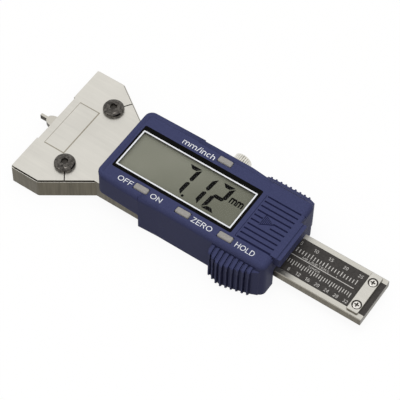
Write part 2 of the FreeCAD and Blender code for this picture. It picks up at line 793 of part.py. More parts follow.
def housing_grips(piece):
    """Hollow finger grips on both sides, ribbed over their whole height and sloped on top."""
    root = f"{SHELL_HALF} - shell_side / 2"
    for side in (1, -1):
        tail = ("shell_end - rear_corner / 2", root)
        outline = [("grip_start", root)] + grip_outline(side, "0") + [tail]
        piece.pad(polygon(piece.sketch(), flip(outline, side)), "grip_root")
        ribs = piece.sketch()
        for number in range(int(size("grip_count"))):
            x, reach = rib_reach(side, number)
            rib = [(f"{x} - rib_width / 2", root), (f"{x} + rib_width / 2", root),
                   (f"{x} + rib_width / 4", reach), (f"{x} - rib_width / 4", reach)]
            polygon(ribs, flip(rib, side))
        piece.pad(ribs, "grip_root")
        bevel = piece.sketch("YZ_Plane", "shell_end")
        reach = f"({SHELL_HALF} + near_crest_out + 2 * rib_depth)"
        drop = f"(grip_root - grip_height) * ({reach} - {SHELL_HALF}) / near_crest_out"
        polygon(bevel, [(f"{side} * {SHELL_HALF}", "grip_root"), (f"{side} * {reach}", f"grip_root - {drop}"),
                        (f"{side} * {reach}", "grip_root + overcut"),
                        (f"{side} * {SHELL_HALF}", "grip_root + overcut")])
        piece.pocket(bevel, "shell_end - grip_start + overcut")
        hollow = piece.sketch()
        outer = grip_outline(side, "grip_wall")[:-2]
        inner = [("grip_back_x - 2 * grip_wall", SHELL_HALF), (outer[0][0], SHELL_HALF)]
        polygon(hollow, flip(outer + inner, side))
        piece.pocket(hollow, "grip_height - 2 * grip_wall", reverse=True)


def housing():
    piece = Piece("housing")
    housing_shell(piece)
    housing_inside(piece)
    housing_openings(piece)
    housing_grips(piece)
    return keep(piece.body)


# ---------------------------------------------------------------- window, display and board

def window_lens():
    piece = slab("window_lens", "window_front + window_fit", "window_end - window_fit",
                 "window_y - window_half + window_fit", "window_y + window_half - window_fit",
                 "shell_top - window_thick", "shell_top")
    return keep(piece.body)


GLASS_TOP = f"({ROOF_UNDER} - glass_fit)"
GLASS_BOTTOM = f"({ROOF_UNDER} - glass_fit - 2 * glass_thick)"
GLASS_FRONT = "(window_front + bezel_wall / 2)"
GLASS_END = "(window_end - bezel_wall / 2)"
GLASS_HALF = "(window_half - bezel_wall / 2)"


def lcd_panel():
    piece = slab("lcd_panel", GLASS_FRONT, GLASS_END, f"window_y - {GLASS_HALF}", f"window_y + {GLASS_HALF}",
                 GLASS_BOTTOM, GLASS_TOP)
    ledge = piece.sketch(level=f"{GLASS_BOTTOM} + glass_thick")
    rectangle(ledge, GLASS_FRONT, GLASS_END, f"window_y - {GLASS_HALF}",
              f"window_y - {GLASS_HALF} + glass_ledge")
    piece.pocket(ledge, "glass_thick")
    return keep(piece.body)


def lcd_frame():
    """Moulded tray that holds the glass above the board, open below the contact ledge."""
    outer = (f"{GLASS_FRONT} - glass_fit - bezel_wall", f"{GLASS_END} + glass_fit + bezel_wall",
             f"window_y - {GLASS_HALF} - glass_fit - bezel_wall", f"window_y + {GLASS_HALF} + glass_fit + bezel_wall")
    piece = slab("lcd_frame", *outer, BOARD_TOP, f"{GLASS_TOP} - glass_fit")
    bed = piece.sketch(level=GLASS_TOP)
    rectangle(bed, f"{GLASS_FRONT} - glass_fit", f"{GLASS_END} + glass_fit",
              f"window_y - {GLASS_HALF} - glass_fit", f"window_y + {GLASS_HALF} + glass_fit")
    piece.pocket(bed, "2 * glass_thick")
    slot = piece.sketch(level=GLASS_TOP)
    rectangle(slot, f"{GLASS_FRONT} + bezel_wall", f"{GLASS_END} - bezel_wall",
              f"window_y - {GLASS_HALF}", f"window_y - {GLASS_HALF} + zebra_width + glass_fit")
    piece.pocket(slot, f"{GLASS_TOP} - {BOARD_TOP} + overcut")
    well = piece.sketch(level=BOARD_TOP)
    rectangle(well, f"{GLASS_FRONT} + bezel_wall", f"{GLASS_END} - bezel_wall",
              f"window_y - {GLASS_HALF} + zebra_width + glass_fit + bezel_wall", f"window_y + {GLASS_HALF} - bezel_wall")
    piece.pocket(well, f"{GLASS_BOTTOM} - {BOARD_TOP} - bezel_base", reverse=True)
    return keep(piece.body)


def zebra_connector():
    piece = slab("zebra_connector", f"{GLASS_FRONT} + bezel_wall + glass_fit", f"{GLASS_END} - bezel_wall - glass_fit",
                 f"window_y - {GLASS_HALF} + glass_fit / 2", f"window_y - {GLASS_HALF} + zebra_width + glass_fit / 2",
                 BOARD_TOP, GLASS_BOTTOM)
    return keep(piece.body)


def circuit_board():
    edge = f"({CAVITY_HALF} - board_side_gap)"
    notch = f"({BOSS_Y} - boss_half - board_gap)"
    end = f"({CAVITY_END} - board_gap)"
    front_notch, back_notch = "boss_front_x + boss_half + board_gap", "boss_back_x - boss_half - board_gap"
    outline = [("board_front", notch), (front_notch, notch), (front_notch, edge),
               (back_notch, edge), (back_notch, notch), (end, notch)]
    piece = Piece("circuit_board")
    piece.pad(polygon(piece.sketch(level="base_height"), mirrored(outline)), "board_thick")
    for x, y in BOARD_SCREWS:
        hole = circle(piece.sketch(level=BOARD_TOP), x, y, "board_screw_radius + screw_fit")
        piece.pocket(hole, "board_thick")
    return keep(piece.body)


def low_block(label, x, y, z, part):
    """Low square block with cut corners and a bevelled top; its sizes start with the part's name."""
    half, corner, height = f"{part}_half", f"{part}_corner", f"{part}_height"
    piece = Piece(label)
    outline = [(f"-{half}", f"{half} - {corner}"), (f"{corner} - {half}", half),
               (f"{half} - {corner}", half), (half, f"{half} - {corner}")]
    piece.pad(polygon(piece.sketch(), mirrored(outline)), height)
    piece.chamfer(f"{part}_bevel", None, lambda middle: middle.z > size(height) - NEAR)
    place(piece.body, x, y, z)
    return piece.body


def chip_cover():
    return keep(low_block("chip_cover", "chip_x", "window_y", BOARD_TOP, "chip"))


def snap_domes():
    return group("snap_domes", [low_block(f"snap_dome_{name}", x, y, BOARD_TOP, "dome")
                                for name, (x, y) in BUTTONS.items()])


def buttons():
    """Four push buttons: the cap in its hole, a flange under the roof and a stem over the snap dome."""
    for name, (x, y) in BUTTONS.items():
        piece = Piece(name)
        cap = piece.sketch(level=f"{ROOF_UNDER} - flange_gap")
        rectangle(cap, *around(x, y, "button_length / 2", "button_width / 2"))
        piece.pad(cap, "shell_cover + flange_gap + button_proud")
        piece.chamfer("button_corner", UP, lambda middle: True)
        flange = piece.sketch(level=f"{ROOF_UNDER} - flange_gap")
        rectangle(flange, *around(x, y, "button_length / 2 + flange_lip", "button_width / 2 + flange_lip / 2"))
        piece.pad(flange, "flange_thick", reverse=True)
        stem = piece.sketch(level=f"{ROOF_UNDER} - flange_gap - flange_thick")
        rectangle(stem, *around(x, y, "stem_half", "stem_half"))
        stem_end = f"{BOARD_TOP} + dome_height + button_travel + flange_gap"
        piece.pad(stem, f"{ROOF_UNDER} - flange_gap - flange_thick - ({stem_end})", reverse=True)
        keep(piece.body)


# ---------------------------------------------------------------- power

CELL_BOTTOM = f"({BOARD_TOP} + contact_thick + contact_gap)"


def battery():
    cell = Piece("button_cell")
    profile = cell.sketch("XZ_Plane")
    polygon(profile, [("0", "0"), ("cell_base_radius", "0"), ("cell_radius", "cell_step"),
                      ("cell_radius", "cell_height"), ("0", "cell_height")])
    cell.turn(profile)
    place(cell.body, "cell_x", "0", CELL_BOTTOM)
    return keep(cell.body)


def contacts():
    below = slab("negative_contact", "cell_x - cell_radius", "cell_x + contact_width", "-contact_width / 2",
                 "contact_width / 2", BOARD_TOP, f"{BOARD_TOP} + contact_thick")
    keep(below.body)
    side = Piece("positive_contact")
    wall = "(cell_radius + contact_gap)"
    outline = [(f"-{wall} - contact_thick - contact_foot", BOARD_TOP), (f"-{wall}", BOARD_TOP),
               (f"-{wall}", f"{CELL_BOTTOM} + contact_height"),
               (f"-{wall} - contact_thick", f"{CELL_BOTTOM} + contact_height"),
               (f"-{wall} - contact_thick", f"{BOARD_TOP} + contact_thick"),
               (f"-{wall} - contact_thick - contact_foot", f"{BOARD_TOP} + contact_thick")]
    leaf = polygon(side.sketch("YZ_Plane", "cell_x - contact_width / 2"), outline)
    side.pad(leaf, "contact_width")
    keep(side.body)


GROOVES = 10
ARROW_GROOVES = (4, 5)


def battery_hatch():
    """Sliding hatch: ridged plate with side tongues, an arrow and a lip over the rear wall."""
    low, high = "hatch_y - hatch_half", "hatch_y + hatch_half"
    floor = "shell_top - hatch_thick"
    piece = slab("battery_hatch", "hatch_front", "shell_end", low, high, floor, "shell_top")
    end, top = size("shell_end"), size("shell_top")
    piece.fillet("hatch_thick - tongue_thick", ACROSS,
                 lambda middle: abs(middle.x - end) < NEAR and middle.z > top - NEAR)
    tongues = piece.sketch(level=floor)
    rectangle(tongues, "hatch_front", "shell_end - shoulder_radius", f"{low} - tongue_width", f"{high} + tongue_width")
    piece.pad(tongues, "tongue_thick")
    lip = piece.sketch(level="shell_top")
    rectangle(lip, "shell_end - tail_wall + hatch_lip_gap", "hatch_end", low, f"{high} - hatch_lip_short")
    piece.pad(lip, "hatch_lip", reverse=True)
    lip_end = size("hatch_end")
    piece.fillet("hatch_lip_round", UP, lambda middle: middle.x > lip_end - NEAR)
    seam = piece.sketch(level="shell_top")
    rectangle(seam, "seam_x - seam_width / 2", "seam_x + seam_width / 2",
              f"{low} - overcut", f"{high} - hatch_lip_short + overcut")
    piece.pocket(seam, "seam_depth")
    grooves = piece.sketch(level="shell_top")
    for number in range(GROOVES):
        middle = f"(hatch_y + {number - (GROOVES - 1) / 2} * groove_pitch)"
        sides = (f"{middle} - groove_width / 2", f"{middle} + groove_width / 2")
        if number in ARROW_GROOVES:
            rectangle(grooves, "groove_front", "groove_break_front", *sides)
            rectangle(grooves, "groove_break_end", "groove_end", *sides)
        else:
            rectangle(grooves, "groove_front", "groove_end", *sides)
    piece.pocket(grooves, "groove_depth")
    arrow = piece.sketch(level="shell_top")
    polygon(arrow, [("arrow_front", "arrow_y - arrow_half"), ("arrow_tip", "arrow_y"),
                    ("arrow_front", "arrow_y + arrow_half")])
    piece.pocket(arrow, "arrow_depth")
    return keep(piece.body)


# ---------------------------------------------------------------- lock and gib

def lock_screw():
    """Knurled thumb screw whose point bears on the gib."""
    piece = Piece("lock_screw")
    knob = circle(piece.sketch("XZ_Plane", f"-{KNOB_START}"), "0", "0", "lock_knob_radius")
    piece.pad(knob, "lock_knob_length", reverse=True)
    groove = piece.sketch("XZ_Plane", f"-{KNOB_START}")
    polygon(groove, [("lock_knob_radius - knurl_size", "0"),
                     ("lock_knob_radius + knurl_size", "-knurl_size"),
                     ("lock_knob_radius + knurl_size", "knurl_size")])
    cut = piece.pocket(groove, "lock_knob_length")
    knurl = piece.feature("PartDesign::PolarPattern")
    knurl.Originals = [cut]
    knurl.Axis = (groove, ["N_Axis"])
    knurl.Angle = 360
    knurl.setExpression("Occurrences", formula("knurl_count"))
    piece.body.Tip = knurl
    document.recompute()
    shank = circle(piece.sketch("XZ_Plane", f"-{KNOB_START}"), "0", "0", "lock_radius")
    piece.pad(shank, f"{KNOB_START} - {GIB_BACK} - slide_gap")
    place(piece.body, "lock_x", "0", LOCK_Z)
    return keep(piece.body)


def gib_strip():
    piece = slab("gib_strip", "lock_x - gib_length / 2", "lock_x + gib_length / 2", GIB_FACE, GIB_BACK,
                 f"{LOCK_Z} - gib_height / 2", f"{LOCK_Z} + gib_height / 2")
    return keep(piece.body)


def gib_screws():
    screws = []
    for name, side in (("front", "-"), ("rear", "+")):
        piece = Piece(f"gib_screw_{name}")
        body = circle(piece.sketch("XZ_Plane", f"-{GIB_BACK}"), f"lock_x {side} gib_screw_step", LOCK_Z,
                      "gib_screw_radius")
        piece.pad(body, "gib_screw_length", reverse=True)
        screws.append(piece.body)
    return group("gib_screws", screws)


def check_and_write():
    """Stop on any failed object or shape, then write one file per piece."""
    document.recompute()
    for item in document.Objects:
        if "Invalid" in item.State or "Error" in item.State:
            raise ValueError(f"{item.Label} failed: {item.State}")
    for node in NODES:
        if node.Shape.isNull() or not node.Shape.isValid():
            raise ValueError(f"{node.Label} has no valid shape")
    os.makedirs("parts", exist_ok=True)
    for node in NODES:
        node.Shape.exportStep(f"parts/{node.Label}.step")
        print(f"{node.Label:18s} solids {len(node.Shape.Solids)} volume {node.Shape.Volume:9.2f}")


BUILDERS = (base_frame, cover_plate, cover_screws, case_screws, board_screws, beam, scale_strip, depth_rod,
            rod_rivets, stop_plate, stop_screws, housing, window_lens, lcd_panel, lcd_frame, zebra_connector,
            circuit_board, chip_cover, snap_domes, buttons, battery, contacts, battery_hatch, lock_screw,
            gib_strip, gib_screws)
for builder in BUILDERS:
    builder()
check_and_write()
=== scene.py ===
import json
import math

import bmesh
import bpy
from mathutils import Matrix, Vector


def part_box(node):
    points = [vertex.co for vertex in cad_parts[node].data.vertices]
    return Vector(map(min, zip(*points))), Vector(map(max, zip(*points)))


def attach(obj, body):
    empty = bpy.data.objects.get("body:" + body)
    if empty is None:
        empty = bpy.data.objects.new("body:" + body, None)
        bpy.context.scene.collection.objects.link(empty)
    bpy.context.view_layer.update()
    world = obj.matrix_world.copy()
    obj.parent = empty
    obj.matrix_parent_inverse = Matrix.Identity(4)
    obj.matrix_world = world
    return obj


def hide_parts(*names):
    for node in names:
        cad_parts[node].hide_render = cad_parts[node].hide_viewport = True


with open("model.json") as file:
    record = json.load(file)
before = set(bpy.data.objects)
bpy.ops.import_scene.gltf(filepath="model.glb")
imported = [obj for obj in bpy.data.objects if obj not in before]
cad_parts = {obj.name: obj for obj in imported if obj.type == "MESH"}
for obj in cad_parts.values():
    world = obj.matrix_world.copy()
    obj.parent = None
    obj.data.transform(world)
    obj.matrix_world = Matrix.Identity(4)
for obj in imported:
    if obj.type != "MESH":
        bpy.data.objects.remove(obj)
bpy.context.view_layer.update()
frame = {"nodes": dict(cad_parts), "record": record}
MM = 0.001


# ---------------------------------------------------------------- shader helpers

NOISE_LOW, NOISE_HIGH = 0.3, 0.7  # most noise values lie between these two


def srgb(r, g, b):
    """Linear colour from 0..255 display values."""
    return tuple(c / 12.92 if c <= 0.04045 else ((c + 0.055) / 1.055) ** 2.4
                 for c in (r / 255, g / 255, b / 255))


def new_material(name):
    mat = bpy.data.materials.new(name)
    mat.use_nodes = True
    nodes = mat.node_tree.nodes
    shader = nodes["Principled BSDF"]
    return mat, nodes, mat.node_tree.links, shader


def noise(nodes, links, scale, stretch=(1, 1, 1), detail=3.0, rough=0.55):
    """Noise in object space, stretched along an axis when asked; scale is per metre."""
    coord = nodes.new("ShaderNodeTexCoord")
    mapping = nodes.new("ShaderNodeMapping")
    mapping.inputs["Scale"].default_value = stretch
    tex = nodes.new("ShaderNodeTexNoise")
    tex.inputs["Scale"].default_value = scale
    tex.inputs["Detail"].default_value = detail
    tex.inputs["Roughness"].default_value = rough
    links.new(coord.outputs["Object"], mapping.inputs["Vector"])
    links.new(mapping.outputs["Vector"], tex.inputs["Vector"])
    return tex.outputs["Fac"]


def spread(nodes, links, value, low, high):
    """Map a noise value around 0.5 to a range."""
    node = nodes.new("ShaderNodeMapRange")
    node.inputs["From Min"].default_value = NOISE_LOW
    node.inputs["From Max"].default_value = NOISE_HIGH
    node.inputs["To Min"].default_value = low
    node.inputs["To Max"].default_value = high
    links.new(value, node.inputs["Value"])
    return node.outputs["Result"]


def mix_color(nodes, links, value, dark, light):
    ramp = nodes.new("ShaderNodeValToRGB")
    ramp.color_ramp.elements[0].position = NOISE_LOW
    ramp.color_ramp.elements[0].color = (*dark, 1)
    ramp.color_ramp.elements[1].position = NOISE_HIGH
    ramp.color_ramp.elements[1].color = (*light, 1)
    links.new(value, ramp.inputs["Fac"])
    return ramp.outputs["Color"]


def bump(nodes, links, shader, value, strength, depth):
    node = nodes.new("ShaderNodeBump")
    node.inputs["Strength"].default_value = strength
    node.inputs["Distance"].default_value = depth
    links.new(value, node.inputs["Height"])
    links.new(node.outputs["Normal"], shader.inputs["Normal"])


def surface(name, dark, light, metal, rough, scale, stretch, strength, depth):
    """Material whose colour, roughness and relief all vary with noise."""
    mat, nodes, links, shader = new_material(name)
    value = noise(nodes, links, scale, stretch)
    links.new(mix_color(nodes, links, value, dark, light), shader.inputs["Base Color"])
    links.new(spread(nodes, links, value, rough[0], rough[1]), shader.inputs["Roughness"])
    shader.inputs["Metallic"].default_value = metal
    bump(nodes, links, shader, value, strength, depth)
    return mat


def scaled(color, factor):
    return tuple(c * factor for c in color)


def steel(name, top, side, rough=(0.30, 0.42), grain=(0.05, 1, 1), relief=0.12):
    """Ground metal: bright brushed upper and lower faces; the upright sides carry painted shade, a darker
    copy of the steel with upright streaks.
    """
    mat, nodes, links, shader = new_material(name)
    brushed = noise(nodes, links, 900, grain)
    cloudy = noise(nodes, links, 60)
    side_streaks = noise(nodes, links, 1500, (1, 1, 0.05))
    coord = nodes.new("ShaderNodeTexCoord")
    split = nodes.new("ShaderNodeSeparateXYZ")
    upright = nodes.new("ShaderNodeMath")
    upright.operation = "ABSOLUTE"
    flat = nodes.new("ShaderNodeMapRange")
    flat.inputs["From Min"].default_value = 0.6
    flat.inputs["From Max"].default_value = 0.9
    links.new(coord.outputs["Normal"], split.inputs["Vector"])
    links.new(split.outputs["Z"], upright.inputs[0])
    links.new(upright.outputs["Value"], flat.inputs["Value"])
    texture = nodes.new("ShaderNodeMix")
    texture.inputs["Factor"].default_value = 0.5
    links.new(brushed, texture.inputs["A"])
    links.new(cloudy, texture.inputs["B"])
    # tone: faces that face up or down take the top colour, upright faces take the side colour, which is
    # painted shade
    tone = nodes.new("ShaderNodeMix")
    tone.data_type = "RGBA"
    links.new(flat.outputs["Result"], tone.inputs["Factor"])
    links.new(mix_color(nodes, links, side_streaks, scaled(side, 0.80), scaled(side, 1.18)), tone.inputs["A"])
    brushed_top = mix_color(nodes, links, texture.outputs["Result"], scaled(top, 0.90), scaled(top, 1.05))
    links.new(brushed_top, tone.inputs["B"])
    links.new(tone.outputs["Result"], shader.inputs["Base Color"])
    links.new(spread(nodes, links, brushed, rough[0], rough[1]), shader.inputs["Roughness"])
    shader.inputs["Metallic"].default_value = 1.0
    bump(nodes, links, shader, brushed, relief, 8e-6)
    return mat


def plastic(name, dark, light, rough, scale, strength, depth, gloss=0.2):
    """Moulded plastic with a fine grain and a restrained sheen."""
    mat = surface(name, dark, light, 0.0, rough, scale, (1, 1, 1), strength, depth)
    mat.node_tree.nodes["Principled BSDF"].inputs["Specular IOR Level"].default_value = gloss
    return mat


def display_glass():
    """Grey-green display film, a little darker towards one corner."""
    mat, nodes, links, shader = new_material("display_glass")
    coord = nodes.new("ShaderNodeTexCoord")
    slope = nodes.new("ShaderNodeVectorMath")
    slope.operation = "DOT_PRODUCT"
    slope.inputs[1].default_value = (1.0, -1.2, 0.0)
    along = nodes.new("ShaderNodeMapRange")
    along.inputs["From Min"].default_value = 0.025
    along.inputs["From Max"].default_value = 0.078
    cloud = noise(nodes, links, 220)
    blend = nodes.new("ShaderNodeMix")
    blend.inputs["Factor"].default_value = 0.12
    links.new(coord.outputs["Object"], slope.inputs[0])
    links.new(slope.outputs["Value"], along.inputs["Value"])
    links.new(along.outputs["Result"], blend.inputs["A"])
    links.new(cloud, blend.inputs["B"])
    color = mix_color(nodes, links, blend.outputs["Result"], srgb(129, 130, 118), srgb(108, 109, 97))
    links.new(color, shader.inputs["Base Color"])
    links.new(spread(nodes, links, cloud, 0.3, 0.4), shader.inputs["Roughness"])
    shader.inputs["Specular IOR Level"].default_value = 0.05
    return mat


# surface: dark and light colour, metal, roughness range, noise scale and stretch, relief strength and depth
# plastic: the same without metal and stretch, then the sheen
# each steel's second colour is a darker copy of the same metal, painted on its upright faces as shade
STEEL_TOP = srgb(216, 213, 205)
STEEL_SHADED_SIDE = srgb(98, 93, 81)
EVEN = (1, 1, 1)
MATERIALS = {
    "base_steel": steel("base_steel", STEEL_TOP, STEEL_SHADED_SIDE),
    "plate_steel": steel("plate_steel", STEEL_TOP, STEEL_SHADED_SIDE),
    "beam_steel": steel("beam_steel", srgb(208, 205, 196), srgb(104, 99, 88), (0.28, 0.40), (0.04, 1, 1)),
    "rod_steel": steel("rod_steel", srgb(204, 200, 190), srgb(62, 58, 50), (0.28, 0.40)),
    "black_steel": surface("black_steel", srgb(46, 44, 42), srgb(110, 106, 101), 1.0, (0.10, 0.22), 1300,
                           EVEN, 0.5, 3e-5),
    "screw_steel": surface("screw_steel", srgb(190, 188, 184), srgb(212, 210, 206), 1.0, (0.22, 0.36),
                           1500, EVEN, 0.1, 8e-6),
    "stop_screw_steel": surface("stop_screw_steel", srgb(226, 222, 214), srgb(243, 240, 234), 1.0,
                                (0.2, 0.3), 1500, EVEN, 0.1, 8e-6),
    "thumb_steel": surface("thumb_steel", srgb(212, 210, 203), srgb(238, 236, 229), 1.0, (0.24, 0.36), 1200,
                           EVEN, 0.12, 8e-6),
    "gib_brass": surface("gib_brass", (0.60, 0.44, 0.18), (0.74, 0.56, 0.27), 1.0, (0.25, 0.4), 1000,
                         (0.05, 1, 1), 0.12, 8e-6),
    "spring_steel": surface("spring_steel", (0.66, 0.63, 0.55), (0.80, 0.77, 0.70), 1.0, (0.2, 0.32), 1200,
                            (1, 0.1, 1), 0.1, 8e-6),
    "cell_steel": surface("cell_steel", (0.66, 0.66, 0.66), (0.80, 0.80, 0.80), 1.0, (0.15, 0.28), 900,
                          (1, 1, 0.2), 0.08, 8e-6),
    "navy_plastic": plastic("navy_plastic", srgb(56, 60, 92), srgb(65, 69, 103), (0.42, 0.56), 3200,
                            0.35, 1.6e-5, 0.05),
    "grey_plastic": plastic("grey_plastic", srgb(138, 136, 133), srgb(157, 155, 152), (0.36, 0.5), 2600,
                            0.25, 1.2e-5),
    "tray_plastic": plastic("tray_plastic", (0.70, 0.70, 0.67), (0.80, 0.80, 0.77), (0.4, 0.55), 2000,
                            0.2, 1.2e-5),
    "zebra_rubber": surface("zebra_rubber", (0.05, 0.05, 0.05), (0.75, 0.62, 0.60), 0.0, (0.5, 0.7), 2600,
                            (1, 0.02, 0.02), 0.2, 1e-5),
    "chip_resin": surface("chip_resin", (0.008, 0.008, 0.008), (0.02, 0.02, 0.02), 0.0, (0.15, 0.3), 900,
                          EVEN, 0.3, 4e-5),
    "board_laminate": surface("board_laminate", (0.008, 0.10, 0.035), (0.02, 0.20, 0.07), 0.0,
                              (0.2, 0.35), 1400, (0.2, 1, 1), 0.2, 1e-5),
    "scale_label": plastic("scale_label", srgb(50, 48, 46), srgb(66, 63, 61), (0.42, 0.58), 1600,
                           0.3, 1.2e-5),
    "display_glass": display_glass(),
    "white_print": plastic("white_print", srgb(220, 223, 228), srgb(236, 238, 242), (0.4, 0.55), 2200,
                           0.1, 4e-6),
    "scale_print": plastic("scale_print", srgb(168, 166, 162), srgb(205, 203, 200), (0.45, 0.6), 3000,
                           0.1, 4e-6),
    "black_print": plastic("black_print", srgb(9, 9, 8), srgb(13, 13, 12), (0.5, 0.6), 2200,
                           0.1, 4e-6, 0.03),
    "lcd_ink": plastic("lcd_ink", srgb(12, 12, 12), srgb(17, 17, 16), (0.5, 0.6), 2200, 0.1, 4e-6, 0.03),
    # darker line colour for an engraved frame on the plate: the darkness is painted shade of the engraving
    "plate_groove_shade": surface("plate_groove_shade", srgb(148, 142, 128), srgb(168, 162, 148), 1.0, (0.35, 0.5), 1200,
                          EVEN, 0.1, 4e-6),
    # dark colour for slits, gaps and recesses in the steel parts: painted shade and shadow
    "gap_painted_shade": surface("gap_painted_shade", srgb(44, 41, 37), srgb(62, 58, 52), 0.3, (0.45, 0.6), 1600,
                        EVEN, 0.1, 4e-6),
    # dark navy for seams, grooves, recesses, creases and rib sides on the housing: painted shade and shadow
    "navy_painted_shade": plastic("navy_painted_shade", srgb(24, 26, 54), srgb(31, 34, 64), (0.5, 0.6), 2600,
                         0.1, 4e-6, 0.05),
    # a little darker than the housing plastic: painted shade of the arrow recess the ridges stand in
    "arrow_recess_shade": plastic("arrow_recess_shade", srgb(50, 54, 90), srgb(58, 62, 100), (0.4, 0.5), 2600,
                          0.2, 1e-5),
}


def window_material():
    """Clear window: see-through with a faint reflection that varies a little."""
    mat, nodes, links, shader = new_material("window_plastic")
    nodes.remove(shader)
    clear = nodes.new("ShaderNodeBsdfTransparent")
    gloss = nodes.new("ShaderNodeBsdfGlossy")
    value = noise(nodes, links, 120)
    links.new(spread(nodes, links, value, 0.05, 0.09), gloss.inputs["Roughness"])
    links.new(mix_color(nodes, links, value, (0.96, 0.965, 0.96), (1.0, 1.0, 1.0)), clear.inputs["Color"])
    mixer = nodes.new("ShaderNodeMixShader")
    mixer.inputs["Fac"].default_value = 0.006
    links.new(clear.outputs["BSDF"], mixer.inputs[1])
    links.new(gloss.outputs["BSDF"], mixer.inputs[2])
    links.new(mixer.outputs["Shader"], nodes["Material Output"].inputs["Surface"])
    return mat


MATERIALS["window_plastic"] = window_material()

NODE_MATERIAL = {entry["node"]: entry["material_slot"] for entry in frame["record"]["subparts"]}
NODE_MATERIAL["stop_screws"] = "stop_screw_steel"
for node, obj in frame["nodes"].items():
    obj.data.materials.clear()
    obj.data.materials.append(MATERIALS[NODE_MATERIAL[node]])


# ---------------------------------------------------------------- geometry helpers

def link(name, mesh, material, body):
    """New piece with one material that rides on a body."""
    mesh.materials.clear()
    mesh.materials.append(MATERIALS[material])
    obj = bpy.data.objects.new(name, mesh)
    bpy.context.collection.objects.link(obj)
    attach(obj, body)
    return obj


def finish_mesh(name, work, material, body):
    bmesh.ops.recalc_face_normals(work, faces=work.faces)
    mesh = bpy.data.meshes.new(name)
    work.to_mesh(mesh)
    work.free()
    return link(name, mesh, material, body)


def prism(work, points, z0, z1):
    """Closed prism over a plane outline in millimetres."""
    low = [work.verts.new((x * MM, y * MM, z0 * MM)) for x, y in points]
    high = [work.verts.new((x * MM, y * MM, z1 * MM)) for x, y in points]
    work.faces.new(high)
    work.faces.new(low[::-1])
    for step in range(len(points)):
        after = (step + 1) % len(points)
        work.faces.new((low[step], low[after], high[after], high[step]))


def ribbon(work, left, right, closed, z0, z1):
    """Closed band between two lines of points, or a ring when the lines are closed."""
    rows = [[work.verts.new((x * MM, y * MM, z * MM)) for x, y in side]
            for side, z in ((left, z1), (right, z1), (right, z0), (left, z0))]
    count = len(left)
    for step in range(count if closed else count - 1):
        after = (step + 1) % count
        for row in range(4):
            side, other = rows[row], rows[(row + 1) % 4]
            work.faces.new((side[step], other[step], other[after], side[after]))
    if not closed:
        for step in (0, count - 1):
            work.faces.new([row[step] for row in rows])


def add_mesh(name, polygons, z0, z1, material, body):
    """Prisms over plane polygons, as one piece."""
    work = bmesh.new()
    for points in polygons:
        prism(work, points, z0, z1)
    return finish_mesh(name, work, material, body)


def ring(name, outer, inner, z0, z1, material, body):
    """Flat frame between two outlines that have the same number of points."""
    work = bmesh.new()
    ribbon(work, outer, inner, True, z0, z1)
    return finish_mesh(name, work, material, body)


def lathe(work, profile, middle, steps=48):
    """Closed turned form about an upright axis; a profile point is (radius or radius by angle, z)."""
    x, y = middle
    rings = []
    for radius, z in profile:
        if radius == 0:
            rings.append([work.verts.new((x * MM, y * MM, z * MM))] * steps)
            continue
        row = []
        for step in range(steps):
            angle = 2 * math.pi * step / steps
            reach = radius(angle) if callable(radius) else radius
            place = (x + reach * math.cos(angle), y + reach * math.sin(angle), z)
            row.append(work.verts.new(tuple(value * MM for value in place)))
        rings.append(row)
    for low, high in zip(rings, rings[1:]):
        for step in range(steps):
            after = (step + 1) % steps
            corners = (low[step], low[after], high[after], high[step])
            work.faces.new(list(dict.fromkeys(corners)))


def loft(work, rows):
    """Closed skin over outlines with the same number of points, capped at both ends."""
    work.faces.new(rows[0][::-1])
    work.faces.new(rows[-1])
    for low, high in zip(rows, rows[1:]):
        for step in range(len(low)):
            after = (step + 1) % len(low)
            work.faces.new((low[step], low[after], high[after], high[step]))


def smooth_above(obj, z):
    for face in obj.data.polygons:
        face.use_smooth = len(face.vertices) == 4 and face.center.z > z * MM


def bar(x0, x1, y0, y1):
    return [(x0, y0), (x1, y0), (x1, y1), (x0, y1)]


def arc(cx, cy, rx, ry, start, end, steps=8):
    """Points along an elliptical arc, angles in degrees."""
    angles = [math.radians(start + (end - start) * step / steps) for step in range(steps + 1)]
    return [(cx + rx * math.cos(angle), cy + ry * math.sin(angle)) for angle in angles]


def disc(cx, cy, radius, sides=48):
    """Corners of a regular polygon that stands for a circle."""
    return arc(cx, cy, radius, radius, 0, 360 - 360 / sides, sides - 1)


def rounded(x0, x1, y0, y1, radius, steps=5):
    """Rectangle with rounded corners."""
    return (arc(x1 - radius, y1 - radius, radius, radius, 0, 90, steps)
            + arc(x0 + radius, y1 - radius, radius, radius, 90, 180, steps)
            + arc(x0 + radius, y0 + radius, radius, radius, 180, 270, steps)
            + arc(x1 - radius, y0 + radius, radius, radius, 270, 360, steps))


# ---------------------------------------------------------------- plain drawn lettering

PEN = 0.115
HALF = PEN / 2
LOW_CASE = 0.74


def stem(x, top=1.0):
    return [(x, 0), (x, top)], False


def level(y, x0, x1):
    return [(x0, y), (x1, y)], False


def oval(cx, cy, rx, ry):
    return arc(cx, cy, rx, ry, 0, 360, 20)[:-1], True


def arch(x0, x1):
    """Shoulder of m, n and h, from one stem over and down to the next."""
    spring = 0.44
    return arc((x0 + x1) / 2, spring, (x1 - x0) / 2, LOW_CASE - HALF - spring, 160, 0) + [(x1, 0)], False


